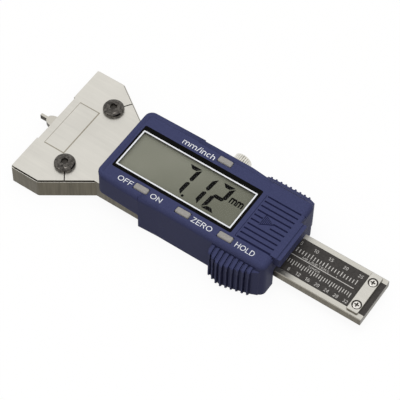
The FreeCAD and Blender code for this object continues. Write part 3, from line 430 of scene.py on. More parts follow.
# each sign: its width, and its pen lines as points and whether they close; capitals are 1 high
GLYPHS = {
    "O": (0.94, [oval(0.47, 0.5, 0.47 - HALF, 0.5 - HALF)]),
    "F": (0.64, [stem(HALF), level(1 - HALF, PEN, 0.64), level(0.53, PEN, 0.58)]),
    "N": (0.76, [stem(HALF), stem(0.76 - HALF), ([(HALF, 0.93), (0.76 - HALF, 0.07)], False)]),
    "Z": (0.70, [level(1 - HALF, 0.03, 0.68), level(HALF, 0, 0.70), ([(0.60, 0.88), (0.10, 0.12)], False)]),
    "E": (0.66, [stem(HALF), level(1 - HALF, PEN, 0.64), level(0.52, PEN, 0.60), level(HALF, PEN, 0.66)]),
    "R": (0.74, [stem(HALF), ([(PEN, 1 - HALF)] + arc(0.42, 0.715, 0.23, 0.21, 90, -90)
                              + [(PEN, 0.505)], False), ([(0.42, 0.46), (0.66, 0)], False)]),
    "H": (0.74, [stem(HALF), stem(0.74 - HALF), level(0.53, PEN, 0.74 - PEN)]),
    "L": (0.58, [stem(HALF), level(HALF, PEN, 0.58)]),
    "D": (0.76, [stem(HALF), ([(PEN, 1 - HALF)] + arc(0.34, 0.5, 0.42 - HALF, 0.5 - HALF, 90, -90)
                              + [(PEN, HALF)], False)]),
    "M": (0.90, [stem(HALF), stem(0.90 - HALF), ([(HALF, 0.93), (0.45, 0.08), (0.90 - HALF, 0.93)], False)]),
    "I": (PEN, [stem(HALF)]),
    "T": (0.66, [level(1 - HALF, 0, 0.66), stem(0.33, 1 - PEN)]),
    "S": (0.62, [(arc(0.31, 0.725, 0.31 - HALF, 0.275 - HALF, 25, 270)
                  + arc(0.31, 0.29, 0.31 - HALF, 0.29 - HALF, 80, -155), False)]),
    "m": (1.00, [stem(HALF, LOW_CASE), arch(HALF, 0.5), arch(0.5, 1.0 - HALF)]),
    "n": (0.56, [stem(HALF, LOW_CASE), arch(HALF, 0.56 - HALF)]),
    "h": (0.56, [stem(HALF), arch(HALF, 0.56 - HALF)]),
    "i": (PEN, [stem(HALF, LOW_CASE), ([(HALF, 0.86), (HALF, 1)], False)]),
    "c": (0.52, [(arc(0.28, 0.37, 0.28 - HALF, 0.37 - HALF, 48, 312, 12), False)]),
    "/": (0.34, [([(0.04, 0), (0.30, 1)], False)]),
    "0": (0.58, [oval(0.29, 0.5, 0.29 - HALF, 0.5 - HALF)]),
    "1": (0.34, [stem(0.26), ([(0.04, 0.78), (0.20, 0.93)], False)]),
    "2": (0.58, [(arc(0.29, 0.70, 0.215, 0.225, 165, -35) + [(0.07, PEN)], False), level(HALF, 0, 0.58)]),
    "3": (0.56, [(arc(0.27, 0.735, 0.20, 0.19, 150, -90), False),
                 (arc(0.27, 0.29, 0.215, 0.215, 90, -150), False)]),
    "4": (0.60, [stem(0.45), ([(0.40, 0.95), (0.06, 0.34)], False), level(0.28, 0, 0.60)]),
    "5": (0.58, [level(1 - HALF, 0.12, 0.54), ([(0.14, 0.93), (0.10, 0.52)], False),
                 (arc(0.27, 0.315, 0.235, 0.24, 125, -150), False)]),
    "6": (0.58, [oval(0.29, 0.30, 0.29 - HALF, 0.30 - HALF),
                 (arc(0.34, 0.40, 0.265, 0.525, 70, 180), False)]),
    "8": (0.58, [oval(0.29, 0.75, 0.20, 0.25 - HALF), oval(0.29, 0.28, 0.215, 0.28 - HALF)]),
}
LETTER_GAP = 0.15


def edges_of(points, closed, half):
    """Left and right edge of a pen line with mitred corners."""
    left, right = [], []
    last = len(points) - 1
    for index, (x, y) in enumerate(points):
        before = points[index - 1] if index or closed else None
        after = points[(index + 1) % len(points)] if index < last or closed else None
        turns = []
        for start, end in ((before, (x, y)), ((x, y), after)):
            if start and end:
                length = math.dist(start, end)
                turns.append(((end[0] - start[0]) / length, (end[1] - start[1]) / length))
        ahead = (sum(t[0] for t in turns) / len(turns), sum(t[1] for t in turns) / len(turns))
        reach = half / max(ahead[0] ** 2 + ahead[1] ** 2, 0.25)
        left.append((x - ahead[1] * reach, y + ahead[0] * reach))
        right.append((x + ahead[1] * reach, y - ahead[0] * reach))
    return left, right


def letters(name, text, x, x_end, y, height, z, material, body, weight=1.0, thick=0.02):
    """Raised lettering between two x values, standing on y, all in millimetres."""
    wide = sum(GLYPHS[sign][0] for sign in text) + LETTER_GAP * (len(text) - 1)
    stretch = (x_end - x) / wide
    work = bmesh.new()
    pen = 0.0
    for sign in text:
        width, strokes = GLYPHS[sign]
        for points, closed in strokes:
            sides = [[(x + (pen + px) * stretch, y + py * height) for px, py in side]
                     for side in edges_of(points, closed, HALF * weight)]
            ribbon(work, *sides, closed, z, z + thick)
        pen += width + LETTER_GAP
    return finish_mesh(name, work, material, body)


# ---------------------------------------------------------------- lettering on the housing

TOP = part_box("housing")[1][2] / MM
LABELS = (  # piece, text, x from, x to, y of the foot, height
    ("label_off", "OFF", 31.7, 36.75, -12.15, 1.78),
    ("label_on", "ON", 43.2, 46.95, -12.15, 1.78),
    ("label_zero", "ZERO", 57.65, 64.55, -12.15, 1.78),
    ("label_hold", "HOLD", 72.75, 79.05, -12.15, 1.78),
    ("label_units", "mm/inch", 39.9, 51.1, 9.35, 1.9),
)
for name, text, x0, x1, y, height in LABELS:
    letters(name, text, x0, x1, y, height, TOP, "white_print", "slider")


# ---------------------------------------------------------------- display

LENS_LOW, LENS_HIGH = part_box("window_lens")
WX0, WX1, WY0, WY1 = (LENS_LOW[0] / MM, LENS_HIGH[0] / MM, LENS_LOW[1] / MM, LENS_HIGH[1] / MM)
FILM_Z = LENS_LOW[2] / MM + 0.01
PRINT_Z = LENS_HIGH[2] / MM
FILM_THICK, PRINT_THICK, LINE_THICK, FILM_INSET = 0.01, 0.008, 0.016, 0.02
LINE_X0, LINE_X1, LINE_Y0, LINE_Y1, LINE_WIDTH = 28.2, 68.5, -7.8, 6.85, 0.45


def line_outline(inset, radius):
    """Outline of the white line round the display, moved inwards."""
    return rounded(LINE_X0 + inset, LINE_X1 - inset, LINE_Y0 + inset, LINE_Y1 - inset, radius)


add_mesh("lcd_film", [bar(WX0 + FILM_INSET, WX1 - FILM_INSET, WY0 + FILM_INSET, WY1 - FILM_INSET)],
         FILM_Z, FILM_Z + FILM_THICK, "display_glass", "slider")
ring("window_print", rounded(WX0 - 0.4, WX1 + 0.25, WY0 - 0.3, WY1 + 0.4, 0.5), line_outline(0.2, 0.2),
     PRINT_Z, PRINT_Z + PRINT_THICK, "black_print", "slider")
ring("window_line", line_outline(0, 0.2), line_outline(LINE_WIDTH, 0.12), PRINT_Z, PRINT_Z + LINE_THICK,
     "white_print", "slider")

DIGIT_LOW, DIGIT_HIGH, DIGIT_WIDTH, DIGIT_LEAN = -5.65, 5.3, 4.5, 0.085
DIGITS = ((50.33, "abc"), (56.13, "bc"), (62.1, "abged"))
POINT, POINT_RADIUS = (50.3, -5.5), 0.45


def segment_shapes(right, which):
    """Seven-segment digit as tapered bars; right is the x of its right side at the top."""
    thick, gap = 1.3, 0.24
    low, high = DIGIT_LOW, DIGIT_HIGH
    left = right - DIGIT_WIDTH
    middle = (low + high) / 2

    def lean_x(x, y):
        return x - DIGIT_LEAN * (high - y), y

    def across(y, sign):
        inset = thick + gap
        inner = y + sign * thick
        return [(left + gap, y), (right - gap, y), (right - inset, inner), (left + inset, inner)]

    def upright(outer, end, sign):
        """Side bar: outer is its outside x, end the y where it meets the top or the bottom bar."""
        inner = outer + sign * thick
        up = 1 if end < middle else -1
        return [(outer, end + up * gap), (inner, end + up * (thick + gap)),
                (inner, middle - up * (gap + thick * 0.4)), (outer + sign * thick * 0.4, middle - up * gap),
                (outer, middle - up * (gap + thick * 0.3))]

    shapes = {
        "a": across(high, -1),
        "d": across(low, 1),
        "g": [(left + gap * 2, middle), (left + thick * 0.7, middle + thick / 2),
              (right - thick * 0.7, middle + thick / 2), (right - gap * 2, middle),
              (right - thick * 0.7, middle - thick / 2), (left + thick * 0.7, middle - thick / 2)],
        "b": upright(right, high, -1),
        "c": upright(right, low, -1),
        "e": upright(left, low, 1),
    }
    return [[lean_x(x, y) for x, y in shapes[part]] for part in which]


INK_Z, INK_THICK = FILM_Z + 0.012, 0.01
digits = []
for right, which in DIGITS:
    digits += segment_shapes(right, which)
digits.append(disc(*POINT, POINT_RADIUS, 12))
add_mesh("lcd_digits", digits, INK_Z, INK_Z + INK_THICK, "lcd_ink", "slider")
letters("lcd_units", "mm", 62.65, 66.9, 0.15, 2.75, INK_Z, "lcd_ink", "slider", 2.0, INK_THICK)


# ---------------------------------------------------------------- scale on the beam

STRIP_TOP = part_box("scale_strip")[1][2] / MM
SCALE_INK = 0.012
ZERO_X, INCH_ZERO_X, INCH, PARTS = 80.6, 80.85, 25.4, 32
MM_FOOT, MM_SHORT, MM_LONG, MM_HALF = 1.35, 2.7, 3.1, 0.13
INCH_FOOT, INCH_SHORT, INCH_LONG, INCH_HALF = 1.65, 2.98, 3.45, 0.12
ticks = []
for value in range(0, 26):
    x, tall = ZERO_X + value, MM_LONG if value % 5 == 0 else MM_SHORT
    ticks.append(bar(x - MM_HALF, x + MM_HALF, MM_FOOT, tall))
for value in range(0, PARTS + 1):
    x, tall = INCH_ZERO_X + value * INCH / PARTS, INCH_LONG if value % 4 == 0 else INCH_SHORT
    ticks.append(bar(x - INCH_HALF, x + INCH_HALF, -tall, -INCH_FOOT))
ticks.append(bar(79.6, 106.0, -0.17, 0.08))
ticks.append(disc(99.92, 0.55, 0.14, 12))
add_mesh("scale_ticks", ticks, STRIP_TOP, STRIP_TOP + SCALE_INK, "scale_print", "beam_set")
NUMBERS = [("mm", value, ZERO_X + value, 4.05) for value in range(5, 26, 5)]
NUMBERS += [("in", value, INCH_ZERO_X + value * INCH / PARTS, -5.55) for value in range(4, PARTS + 1, 4)]
NUMBER_HEIGHT, WORD_HEIGHT, ONE_SIGN_WIDE, TWO_SIGNS_WIDE = 1.15, 0.72, 0.68, 1.5
scale_text = []
for unit, value, x, y in NUMBERS:
    wide = ONE_SIGN_WIDE if value < 10 else TWO_SIGNS_WIDE
    scale_text.append((f"scale_{unit}_{value}", str(value), x - wide / 2, x + wide / 2, y, NUMBER_HEIGHT))
scale_text += [("scale_word_mm", "MILLIMETERS", 88.4, 97.2, 0.28, WORD_HEIGHT),
               ("scale_word_in", "32NDS", 91.2, 95.2, -1.35, WORD_HEIGHT)]
for name, text, x0, x1, y, height in scale_text:
    letters(name, text, x0, x1, y, height, STRIP_TOP, "scale_print", "beam_set", thick=SCALE_INK)


# ---------------------------------------------------------------- cover plate, painted shadow in its slits and along its edges, its screws

PLATE_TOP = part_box("cover_plate")[1][2] / MM
BASE_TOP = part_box("base_frame")[1][2] / MM
FRAME_OUTER = [(2.75, 8.9), (10.15, 8.9), (10.15, -9.55), (2.75, -9.55)]
FRAME_INNER = [(2.90, 8.58), (9.74, 8.58), (9.74, -9.17), (2.90, -9.17)]
# engraved frame round the plate's panel, drawn as a flat darker ring: its darkness is painted shade, not a
# groove in the geometry
ring("plate_frame_groove_shade", FRAME_OUTER, FRAME_INNER, PLATE_TOP, PLATE_TOP + 0.01, "plate_groove_shade", "slider")
SIDES = ((1, "far"), (-1, "near"))
SCREW_X, SCREW_Y = 12.7, 12.4
SLIT_FROM, SLIT_TO, SLIT_HALF, SLIT_TALL = 2.5, 5.93, 0.17, 0.3
GAP_INSET, GAP_HALF, GAP_TALL = 0.33, 0.13, 0.02
PAD_CORNER, NECK_CORNER = (9.8, 22.2), (24.1, 12.3)
slant = math.dist(PAD_CORNER, NECK_CORNER)
OUT = ((PAD_CORNER[1] - NECK_CORNER[1]) / slant, (NECK_CORNER[0] - PAD_CORNER[0]) / slant)
for side, name in SIDES:
    # dark strip on the base's top under each slit: painted shadow of the slit
    work = bmesh.new()
    line = [(SCREW_X + reach * OUT[0], side * (SCREW_Y + reach * OUT[1])) for reach in (SLIT_FROM, SLIT_TO)]
    ribbon(work, *edges_of(line, False, SLIT_HALF), False, BASE_TOP, BASE_TOP + SLIT_TALL)
    finish_mesh(f"plate_slit_shadow_{name}", work, "gap_painted_shade", "slider")
    # dark line on the base along the plate's edges: painted shadow at the plate's foot
    work = bmesh.new()
    line = [(1.0, side * (PAD_CORNER[1] - GAP_INSET)),
            (PAD_CORNER[0] - 0.1, side * (PAD_CORNER[1] - GAP_INSET)),
            (NECK_CORNER[0] + 0.9, side * (NECK_CORNER[1] - 1.0))]
    ribbon(work, *edges_of(line, False, GAP_HALF), False, BASE_TOP, BASE_TOP + GAP_TALL)
    finish_mesh(f"plate_edge_shadow_{name}", work, "gap_painted_shade", "slider")

SOCKET, SOCKET_FLOOR, SOCKET_DEPTH, SOCKET_POINT = 1.15, 1.02, 1.0, 1.25


def hexagon(angle):
    """Radius of the socket's six sides at an angle."""
    return SOCKET * math.cos(math.pi / 6) / math.cos(angle % (math.pi / 3) - math.pi / 6)


def socket_mouth(angle):
    """Radius of the socket's broken edge at an angle."""
    return hexagon(angle) * 1.08


SCREW_LOW, SCREW_HIGH = (corner[2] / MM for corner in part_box("cover_screws"))
RIM, SHANK, CROWN, RIM_TALL = 3.3, 1.5, 1.55, 0.62
dome = arc(CROWN, PLATE_TOP + RIM_TALL, RIM - CROWN, SCREW_HIGH - PLATE_TOP - RIM_TALL, 0, 90, 12)
screw_profile = [(0, SCREW_LOW), (SHANK, SCREW_LOW), (SHANK, PLATE_TOP), (RIM - 0.12, PLATE_TOP),
                 (RIM, PLATE_TOP + 0.14), *dome, (socket_mouth, SCREW_HIGH), (hexagon, SCREW_HIGH - 0.07),
                 (hexagon, SCREW_HIGH - SOCKET_DEPTH), (0, SCREW_HIGH - SOCKET_POINT)]
work = bmesh.new()
for side in (1, -1):
    lathe(work, screw_profile, (SCREW_X, side * SCREW_Y))
screws = finish_mesh("domed_cover_screws", work, "black_steel", "slider")
smooth_above(screws, PLATE_TOP + 0.1)
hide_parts("cover_screws")
# dark disc inside each hex socket: painted shade of the socket's depth
for side, name in SIDES:
    add_mesh(f"screw_socket_shade_{name}", [disc(SCREW_X, side * SCREW_Y, SOCKET_FLOOR, 6)],
             SCREW_HIGH - 1.2, SCREW_HIGH - 0.75, "gap_painted_shade", "slider")


# ---------------------------------------------------------------- stop plate on the beam's tail

STOP_LOW, STOP_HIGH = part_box("stop_plate")
END_TRIM, NEAR_TRIM, STOP_BEVEL, STOP_CORNER = 0.3, 0.55, 0.12, 0.45
SX0, SX1 = STOP_LOW[0] / MM, STOP_HIGH[0] / MM - END_TRIM
SY0, SY1 = STOP_LOW[1] / MM + NEAR_TRIM, STOP_HIGH[1] / MM
SZ0, SZ1 = STOP_LOW[2] / MM, STOP_HIGH[2] / MM
STOP_SCREW_X, STOP_SCREW_Y, STOP_HOLE = 109.7, 4.45, 1.57


def carve(obj, work):
    """Cut closed forms out of a piece."""
    bmesh.ops.recalc_face_normals(work, faces=work.faces)
    cutter_mesh = bpy.data.meshes.new("cutter")
    work.to_mesh(cutter_mesh)
    work.free()
    cutter = bpy.data.objects.new("cutter", cutter_mesh)
    bpy.context.collection.objects.link(cutter)
    cut = obj.modifiers.new("cut", "BOOLEAN")
    cut.operation = "DIFFERENCE"
    cut.solver = "EXACT"
    cut.object = cutter
    bpy.context.view_layer.update()
    carved = bpy.data.meshes.new_from_object(obj.evaluated_get(bpy.context.evaluated_depsgraph_get()))
    obj.modifiers.clear()
    obj.data = carved
    bpy.data.objects.remove(cutter)


def bevelled_plate(work):
    """Small-cornered plate with a broken upper edge."""
    rows = []
    for inset, z in ((0.0, SZ0), (0.0, SZ1 - STOP_BEVEL), (STOP_BEVEL, SZ1)):
        outline = rounded(SX0 + inset, SX1 - inset, SY0 + inset, SY1 - inset, STOP_CORNER - inset, 4)
        rows.append([work.verts.new((x * MM, y * MM, z * MM)) for x, y in outline])
    loft(work, rows)


work = bmesh.new()
bevelled_plate(work)
stop = finish_mesh("stop_plate_finished", work, "plate_steel", "beam_set")
work = bmesh.new()
for side in (1, -1):
    prism(work, disc(STOP_SCREW_X, side * STOP_SCREW_Y, STOP_HOLE), SZ0 - 1, SZ1 + 1)
carve(stop, work)
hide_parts("stop_plate")

HEAD, CROSS, SLOT, STOP_SHANK, HEAD_EDGE, CROSS_DEPTH = 1.2, 0.78, 0.23, 0.8, 0.14, 0.42
STOP_SCREW_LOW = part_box("stop_screws")[0][2] / MM
HEAD_TOP = SZ1 - 0.02
work = bmesh.new()
for side in (1, -1):
    lathe(work, [(0, STOP_SCREW_LOW), (STOP_SHANK, STOP_SCREW_LOW), (STOP_SHANK, SZ0 - 0.3),
                 (HEAD, SZ0 + 0.1), (HEAD, HEAD_TOP - HEAD_EDGE), (HEAD - HEAD_EDGE, HEAD_TOP),
                 (0, HEAD_TOP)], (STOP_SCREW_X, side * STOP_SCREW_Y))
heads = finish_mesh("cross_stop_screws", work, "stop_screw_steel", "beam_set")
work = bmesh.new()
crosses = []
for side in (1, -1):
    y = side * STOP_SCREW_Y
    quarter = [(CROSS, -SLOT), (CROSS, SLOT), (SLOT, SLOT)]
    cross = [(STOP_SCREW_X + x * c - dy * n, y + x * n + dy * c)
             for c, n in ((1, 0), (0, 1), (-1, 0), (0, -1)) for x, dy in quarter]
    crosses.append(cross)
    prism(work, cross, HEAD_TOP - CROSS_DEPTH, HEAD_TOP + 1)
carve(heads, work)
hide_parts("stop_screws")
# dark floors in the cross recesses: painted shade
add_mesh("stop_screw_cross_shade", crosses, HEAD_TOP - 0.43, HEAD_TOP - 0.22, "gap_painted_shade", "beam_set")
# dark ring between each head and its hole: painted shade in the countersink gap
for side, name in SIDES:
    middle = (STOP_SCREW_X, side * STOP_SCREW_Y)
    ring(f"stop_screw_gap_shade_{name}", disc(*middle, STOP_HOLE), disc(*middle, HEAD - 0.03),
         SZ1 - 0.3, SZ1 - 0.16, "gap_painted_shade", "beam_set")


# ---------------------------------------------------------------- hatch: painted shadow in its seam and groove floors, painted shade in the arrow recess, arrow ridges

HX0, HATCH_Y, HATCH_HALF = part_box("battery_hatch")[0][0] / MM, -0.45, 8.4
HATCH_NEAR = HATCH_Y - HATCH_HALF
# dark hairline round the hatch on the housing's top: painted shadow of the seam
seam = [bar(HX0 - 0.16, HX0 - 0.03, HATCH_NEAR - 0.1, HATCH_Y + HATCH_HALF),
        bar(HX0 - 0.03, 83.4, HATCH_NEAR - 0.2, HATCH_NEAR - 0.07)]
add_mesh("hatch_seam_shadow", seam, TOP, TOP + 0.004, "navy_painted_shade", "slider")
GROOVES, GROOVE_PITCH, GROOVE_HALF, GROOVE_DEPTH = 10, 1.82, 0.27, 0.4
GROOVE_X0, ARROW_X0, ARROW_X1, GROOVE_X1, BESIDE_ARROW = 71.42, 74.28, 77.92, 82.78, (4, 5)
floors = []
for number in range(GROOVES):
    y = HATCH_Y + (number - (GROOVES - 1) / 2) * GROOVE_PITCH
    spans = (((GROOVE_X0, ARROW_X0), (ARROW_X1, GROOVE_X1)) if number in BESIDE_ARROW
             else ((GROOVE_X0, GROOVE_X1),))
    floors += [bar(x0, x1, y - GROOVE_HALF, y + GROOVE_HALF) for x0, x1 in spans]
# dark strips in the groove floors: painted shade in the grooves
add_mesh("hatch_groove_shade", floors, TOP - GROOVE_DEPTH, TOP - 0.2, "navy_painted_shade", "hatch")
ARROW_Y = 0.15
ARROW_FLOOR = [(74.55, 2.0), (74.55, -1.7), (77.9, ARROW_Y)]
ARROW_EDGE = [(74.4, -1.98), (78.25, 0.12), (77.75, 0.2), (74.5, -1.55)]
# dark floor and dark edge in the arrow recess: painted shade of the recess and its near wall
add_mesh("hatch_arrow_floor_shade", [ARROW_FLOOR], TOP - 0.3, TOP - 0.26, "navy_painted_shade", "hatch")
add_mesh("hatch_arrow_edge_shade", [ARROW_EDGE], TOP - 0.2, TOP + 0.004, "navy_painted_shade", "hatch")

RIDGES, RIDGE_X, RIDGE_PITCH, RIDGE_HALF = 6, 74.85, 0.48, 0.13
ARROW_TIP, ARROW_LENGTH, ARROW_HALF = 78.1, 3.6, 2.0
ridges = []
for number in range(RIDGES):
    x = RIDGE_X + number * RIDGE_PITCH
    half = ARROW_HALF * (ARROW_TIP - x) / ARROW_LENGTH - 0.12
    ridges.append(bar(x - RIDGE_HALF, x + RIDGE_HALF, ARROW_Y - half, ARROW_Y + half))
# ridges coloured with painted recess shade
add_mesh("hatch_arrow_ridges", ridges, TOP - 0.26, TOP - 0.05, "arrow_recess_shade", "hatch")


# ---------------------------------------------------------------- keys with rounded crowns

FLANGE_X, FLANGE_Y, FLANGE_LOW, FLANGE_HIGH, STEM = 2.8, 1.25, 12.05, 12.75, 0.6
KEY_X, KEY_Y, KEY_CORNER = 2.35, 1.025, 0.48
CROWN_STEPS = ((0, 0.42), (0.06, 0.22), (0.2, 0.07), (0.42, 0))  # inset and depth under the crown
for name in ("off_on", "zero", "hold", "units"):
    low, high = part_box(f"button_{name}")
    x, y = (low[0] + high[0]) / 2 / MM, (low[1] + high[1]) / 2 / MM
    bottom, crown = low[2] / MM, high[2] / MM
    work = bmesh.new()
    prism(work, bar(x - STEM, x + STEM, y - STEM, y + STEM), bottom, FLANGE_LOW)
    prism(work, bar(x - FLANGE_X, x + FLANGE_X, y - FLANGE_Y, y + FLANGE_Y), FLANGE_LOW, FLANGE_HIGH)
    rows = []
    for inset, z in [(0, FLANGE_HIGH)] + [(inset, crown - depth) for inset, depth in CROWN_STEPS]:
        outline = rounded(x - KEY_X + inset, x + KEY_X - inset, y - KEY_Y + inset, y + KEY_Y - inset,
                          KEY_CORNER - inset, 4)
        rows.append([work.verts.new((px * MM, py * MM, z * MM)) for px, py in outline])
    loft(work, rows)
    piece = finish_mesh(f"key_{name}", work, "grey_plastic", f"{name}_key")
    smooth_above(piece, FLANGE_HIGH)
    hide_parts(f"button_{name}")


# ---------------------------------------------------------------- near grip: ribs carried up to the top edge, painted shade on their sides and at their root

GRIP_X0, GRIP_PEAK_X, GRIP_X1 = 66.2, 71.2, 80.9
REACH_FRONT, REACH_PEAK, REACH_END = 1.5, 3.3, 0.95
SIDE_Y, ROOT_Z, SLOPE, RIB_DEPTH, RIB_HALF, RIB_RISE = 13.9, 12.0, 0.515, 0.75, 0.43, 0.75
RIBS, RIB_X, RIB_PITCH, CREST_FOOT, TIP_BREAK, SIDE_HALF = 9, 67.1, 1.62, 9.0, 0.3, 0.05


def grip_reach(x):
    """How far the near grip stands out from the housing's side."""
    rise = REACH_FRONT + (REACH_PEAK - REACH_FRONT) * (x - GRIP_X0) / (GRIP_PEAK_X - GRIP_X0)
    fall = REACH_PEAK + (REACH_END - REACH_PEAK) * (x - GRIP_PEAK_X) / (GRIP_X1 - GRIP_PEAK_X)
    return min(rise, fall)


def rib_rows(work, profile, x, half):
    """Two outlines of a rib across the near side, half a rib to each side of x; y is measured outwards."""
    return [[work.verts.new((x1 * MM, -y * MM, z * MM)) for y, z in profile] for x1 in (x - half, x + half)]


def rib_tip(out):
    """Height of a rib's upper end where it stands out by a distance."""
    return ROOT_Z + RIB_RISE - SLOPE * (out - TIP_BREAK)


work = bmesh.new()
for number in range(RIBS):
    x = RIB_X + number * RIB_PITCH
    out = grip_reach(x) + RIB_DEPTH - 0.01
    tip = rib_tip(out)
    loft(work, rib_rows(work, [
        (SIDE_Y - 0.2, ROOT_Z + RIB_RISE), (SIDE_Y + out - TIP_BREAK, tip), (SIDE_Y + out, tip - 0.4),
        (SIDE_Y + out, CREST_FOOT), (SIDE_Y - 0.2, CREST_FOOT)], x, RIB_HALF))
finish_mesh("grip_rib_crests", work, "navy_plastic", "slider")
# thin dark plates on each rib's +X side: painted shade on the side that faces away from the light
work = bmesh.new()
for number in range(RIBS):
    x = RIB_X + number * RIB_PITCH + RIB_HALF
    wall, out = grip_reach(x), grip_reach(x - RIB_HALF) + RIB_DEPTH - 0.09
    tip = rib_tip(out)
    loft(work, rib_rows(work, [
        (SIDE_Y - 0.2, ROOT_Z + RIB_RISE - 0.1), (SIDE_Y + out - TIP_BREAK, tip - 0.1),
        (SIDE_Y + out, tip - 0.5), (SIDE_Y + out, 0.3), (SIDE_Y + wall - 0.1, 0.3),
        (SIDE_Y + wall - 0.1, ROOT_Z - SLOPE * wall - 0.1), (SIDE_Y - 0.2, ROOT_Z - 0.1)], x, SIDE_HALF))
finish_mesh("grip_rib_side_shade", work, "navy_painted_shade", "slider")
# dark strip where the ribs meet the wall: painted shade in the crease
add_mesh("grip_root_crease_shade", [bar(66.5, 81.4, -SIDE_Y - 0.05, -SIDE_Y + 0.1)],
         ROOT_Z + RIB_RISE, ROOT_Z + 0.98, "navy_painted_shade", "slider")


# ---------------------------------------------------------------- housing: upper edges, near wall

WALL_TOP, BLEND_RADIUS, CRISP, SIDE_HALF_WIDTH = 14.8, 1.9, 0.45, 13.9


def edge_section(radius, lean, foot, toe):
    """Cross-section of an edge: outward distance and height, from its foot over the rounding inwards."""
    turn = arc(lean - radius, WALL_TOP - 0.006 - radius, radius, radius, 0, 90, 6)
    return [(toe, foot)] + turn + [(-BLEND_RADIUS - 0.1, WALL_TOP - 0.03), (-BLEND_RADIUS - 0.1, foot)]


def heading_out(heading):
    """Outward direction for an angle in degrees."""
    return math.cos(math.radians(heading)), math.sin(math.radians(heading))


def edge_piece(name, stations, upright=False):
    """Closed skin over stations of (x, y, outward angle, radius, lean, foot)."""
    work = bmesh.new()
    rows = []
    for x, y, heading, radius, lean, foot in stations:
        nx, ny = heading_out(heading)
        rows.append([work.verts.new(((x + out * nx) * MM, (y + out * ny) * MM, z * MM))
                     for out, z in edge_section(radius, lean, foot, lean if upright else -0.05)])
    loft(work, rows)
    piece = finish_mesh(name, work, "navy_plastic", "slider")
    smooth_above(piece, WALL_TOP - 0.5)


FRONT_X, FRONT_HALF, STEP_X, STEP_HALF, CORNER, TURNS = 25.3, 13.725, 45.2, 14.25, 2.2, 6
NEAR, FRONT, FAR = 268.5, 180, 91.5  # outward angles of the tapered sides and the front
FRONT_LEAN, FAR_LEAN, FRONT_FOOT = 0.25, 0.40, 9.0
stations = [(33.5, -13.94, NEAR, BLEND_RADIUS, -0.03, 11.0), (30.5, -13.87, NEAR, 1.6, -0.01, 10.5)]
for step in range(TURNS + 1):
    heading = NEAR - (NEAR - FRONT) * step / TURNS
    nx, ny = heading_out(heading)
    part = step / TURNS
    stations.append((FRONT_X + CORNER + CORNER * nx, -FRONT_HALF + CORNER + CORNER * ny, heading,
                     1.4 - 0.95 * part, FRONT_LEAN * part, 10.0 - part))
for step in range(TURNS + 1):
    heading = FRONT - (FRONT - FAR) * step / TURNS
    nx, ny = heading_out(heading)
    stations.append((FRONT_X + CORNER + CORNER * nx, FRONT_HALF - CORNER + CORNER * ny, heading, CRISP,
                     FRONT_LEAN + (FAR_LEAN - FRONT_LEAN) * step / TURNS, FRONT_FOOT))
stations.append((STEP_X - 0.02, STEP_HALF, FAR, CRISP, 0.1, FRONT_FOOT))
edge_piece("housing_front_edge", stations)
edge_piece("housing_far_edge", [(STEP_X - 0.3, SIDE_HALF_WIDTH, 90, CRISP, 0.12, 10.5),
                                (62.0, SIDE_HALF_WIDTH, 90, CRISP, 0.12, 10.5),
                                (66.0, SIDE_HALF_WIDTH, 90, 1.1, 0.03, 11.0),
                                (70.5, SIDE_HALF_WIDTH, 90, BLEND_RADIUS, -0.03, 11.5)])
# dark strip on the far edge's rounding above the far grip: painted shade in the crease between wall and grip
LINE_FROM, LINE_TO, LINE_OUT, LINE_IN = 42, 56, BLEND_RADIUS + 0.012, BLEND_RADIUS - 0.12
work = bmesh.new()
middle = (SIDE_HALF_WIDTH - BLEND_RADIUS, WALL_TOP - BLEND_RADIUS)
line = (arc(*middle, LINE_OUT, LINE_OUT, LINE_FROM, LINE_TO, 3)
        + arc(*middle, LINE_IN, LINE_IN, LINE_TO, LINE_FROM, 3))
loft(work, [[work.verts.new((x * MM, y * MM, z * MM)) for y, z in line] for x in (69.0, 81.3)])
finish_mesh("far_grip_crease_shade", work, "navy_painted_shade", "slider")
edge_piece("housing_near_wall", [(40.58, -SIDE_HALF_WIDTH, 270, BLEND_RADIUS, 0.345, 0.05),
                                 (48.0, -SIDE_HALF_WIDTH, 270, BLEND_RADIUS, -0.02, 0.05)], True)


# ---------------------------------------------------------------- stage

def plane(name, size, z):
    mesh = bpy.data.meshes.new(name)
    corners = [(-size, -size, z), (size, -size, z), (size, size, z), (-size, size, z)]
    mesh.from_pydata(corners, [], [(0, 1, 2, 3)])
    obj = bpy.data.objects.new(name, mesh)
    bpy.context.collection.objects.link(obj)
    return obj


def sight_value(nodes, links):
    """1 for what the eye, metal and glass see, 0 for what lights a matt surface."""
    path = nodes.new("ShaderNodeLightPath")
    mirrored = nodes.new("ShaderNodeMath")
    mirrored.operation = "MAXIMUM"
    sight = nodes.new("ShaderNodeMath")
    sight.operation = "MAXIMUM"
    links.new(path.outputs["Is Glossy Ray"], mirrored.inputs[0])
    links.new(path.outputs["Is Transmission Ray"], mirrored.inputs[1])
    links.new(path.outputs["Is Camera Ray"], sight.inputs[0])
    links.new(mirrored.outputs["Value"], sight.inputs[1])
    return sight.outputs["Value"]


